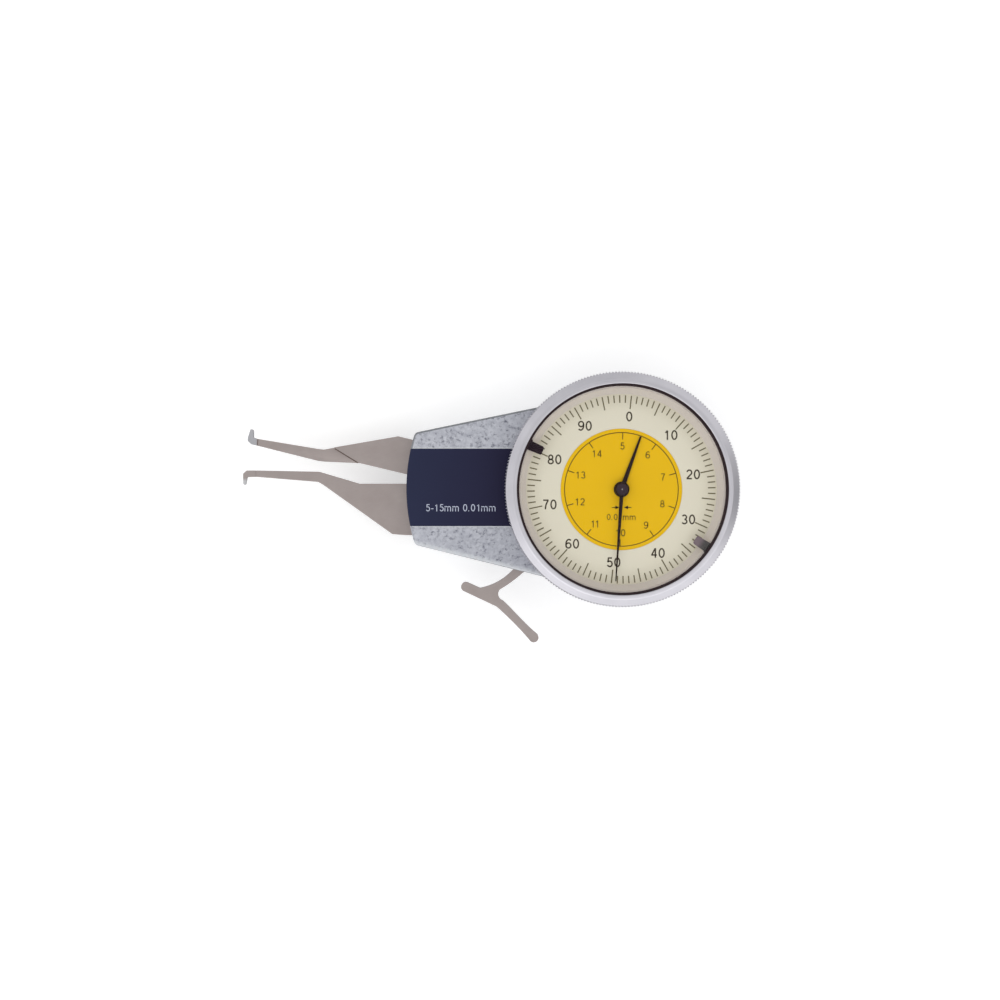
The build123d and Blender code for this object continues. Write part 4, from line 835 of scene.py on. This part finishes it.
def add_strip(work, start, end, width, low, thick):
    """Thin box between two places, in millimetres."""
    along = end - start
    place = Matrix.Translation(Vector((*((start + end) / 2), low + thick / 2)) * MM)
    turn = Matrix.Rotation(atan2(along.y, along.x), 4, "Z")
    size = Matrix.Diagonal((along.length * MM, width * MM, thick * MM, 1))
    bmesh.ops.create_cube(work, size=1.0, matrix=place @ turn @ size)


STRIP_LOW = BLADE_TOP - 0.01
work = bmesh.new()
add_strip(work, Vector((-99.3, 12.3)), Vector((-99.1, 14.0)), 0.22, STRIP_LOW, 0.025)
# Painted shade: a dark line at the foot of the step, where the wall shades the thinner blade.
add_strip(work, Vector((-77.85, 11.4)), Vector((-71.5, 7.48)), 0.42, STRIP_LOW, 0.03)
link("arm_braze_and_step_shade", mesh_of(work, "arm_braze_and_step_shade"), "arm", "arm_steel", BRAZE_AND_STEP_SHADE)

# %% [markdown]
# Studio light: the world is pale, one soft lamp stands at the lower left and brightens that side of
# the bezel and the handle's lower edge, and a weaker one fills from the lower right.
# Metal shows its surroundings, so for reflections alone the world holds soft panels: each has a
# bearing, where it begins, how softly, and how much light it adds. The last is a dark flag.

# %% Lamps and world
GAUGE_MIDDLE = Vector((-0.03, 0, 0.01))


def lamp(name, place, size, power):
    """Square soft lamp that looks at the gauge's middle."""
    data = bpy.data.lights.new(name, "AREA")
    data.shape = "SQUARE"
    data.size = size
    data.energy = power
    item = bpy.data.objects.new(name, data)
    item.location = place
    item.rotation_euler = (GAUGE_MIDDLE - place).to_track_quat("-Z", "Y").to_euler()
    bpy.context.scene.collection.objects.link(item)
    print(name, "watts:", power)


lamp("lower_left", Vector((-0.38, -0.62, 0.80)), 0.8, 1.4)
lamp("lower_right", Vector((0.35, -0.55, 0.95)), 0.8, 0.8)

AMBIENT = 0.88
IN_MIRRORS = 0.70
PANEL_OUT, PANEL_UP = 0.96, 0.28
PANELS = (
    (264, 0.50, 0.60, 0.30), (238, 0.86, 0.24, 0.24), (312, 0.84, 0.30, 0.30),
    (165, 0.78, 0.40, 0.20), (38, 0.86, 0.24, 0.26), (-1, 0.94, 0.10, -0.52),
)
world = bpy.data.worlds.new("studio")
world.use_nodes = True
bpy.context.scene.world = world
sky = Graph(world.node_tree)


def towards(x, y, z):
    """How nearly the ray runs in a direction, from -1 to 1."""
    ray = sky.node("ShaderNodeTexCoord", "Generated")
    product = {"operation": "DOT_PRODUCT"}
    return sky.node("ShaderNodeVectorMath", "Value", product, i0=ray, i1=(x, y, z))


camera_ray = sky.node("ShaderNodeLightPath", "Is Camera Ray")
passing_ray = sky.node("ShaderNodeLightPath", "Is Transmission Ray")
mirror_ray = sky.node("ShaderNodeLightPath", "Is Glossy Ray")
mirrored = IN_MIRRORS
for bearing, begin, soft, added in PANELS:
    across, along = cos(radians(bearing)) * PANEL_OUT, sin(radians(bearing)) * PANEL_OUT
    mirrored = towards(across, along, PANEL_UP).above(begin, soft) * added + mirrored
seen_straight = (camera_ray + passing_ray).clamped() * (1 - AMBIENT)
strength = AMBIENT + seen_straight + mirror_ray * (mirrored - AMBIENT)
plug(sky.tree, sky.tree.nodes["Background"].inputs["Strength"], strength)
plug(sky.tree, sky.tree.nodes["Background"].inputs["Color"], (1.0, 1.0, 1.0))
print("panels in mirrors:", len(PANELS))

# %% [markdown]
# The floor is pale paper a hair under the rear face. To the camera, and through glass, it also glows
# a little, so that it reads as white, while the soft shadow under the gauge stays.

# %% Floor
FLOOR_REACH = 1500.0
FLOOR_GAP = 0.2
FLOOR_GLOW = 0.42
work = bmesh.new()
under = Matrix.Translation(Vector((0, 0, -FLOOR_GAP)) * MM)
bmesh.ops.create_grid(work, x_segments=1, y_segments=1, size=FLOOR_REACH * MM, matrix=under)
floor_mesh = bpy.data.meshes.new("floor")
work.to_mesh(floor_mesh)
work.free()
floor = bpy.data.objects.new("floor", floor_mesh)
bpy.context.scene.collection.objects.link(floor)

paper = Finish("floor_paper", Roughness=0.9, Emission_Strength=1.0)
fibres = paper.noise(paper.place(), 0.05, 3.0, 0.5)
paper.set(Base_Color=paper.blend(fibres, srgb(222, 222, 222), srgb(226, 226, 226)))
seen, through = (paper.node("ShaderNodeLightPath", f"Is {kind} Ray") for kind in ("Camera", "Transmission"))
glow = paper.blend((seen + through).clamped(), (0.0, 0.0, 0.0), (FLOOR_GLOW,) * 3)
paper.set(Emission_Color=glow)
floor_mesh.materials.append(paper.material)
print("floor reach in mm:", FLOOR_REACH, "below the rear face:", FLOOR_GAP)
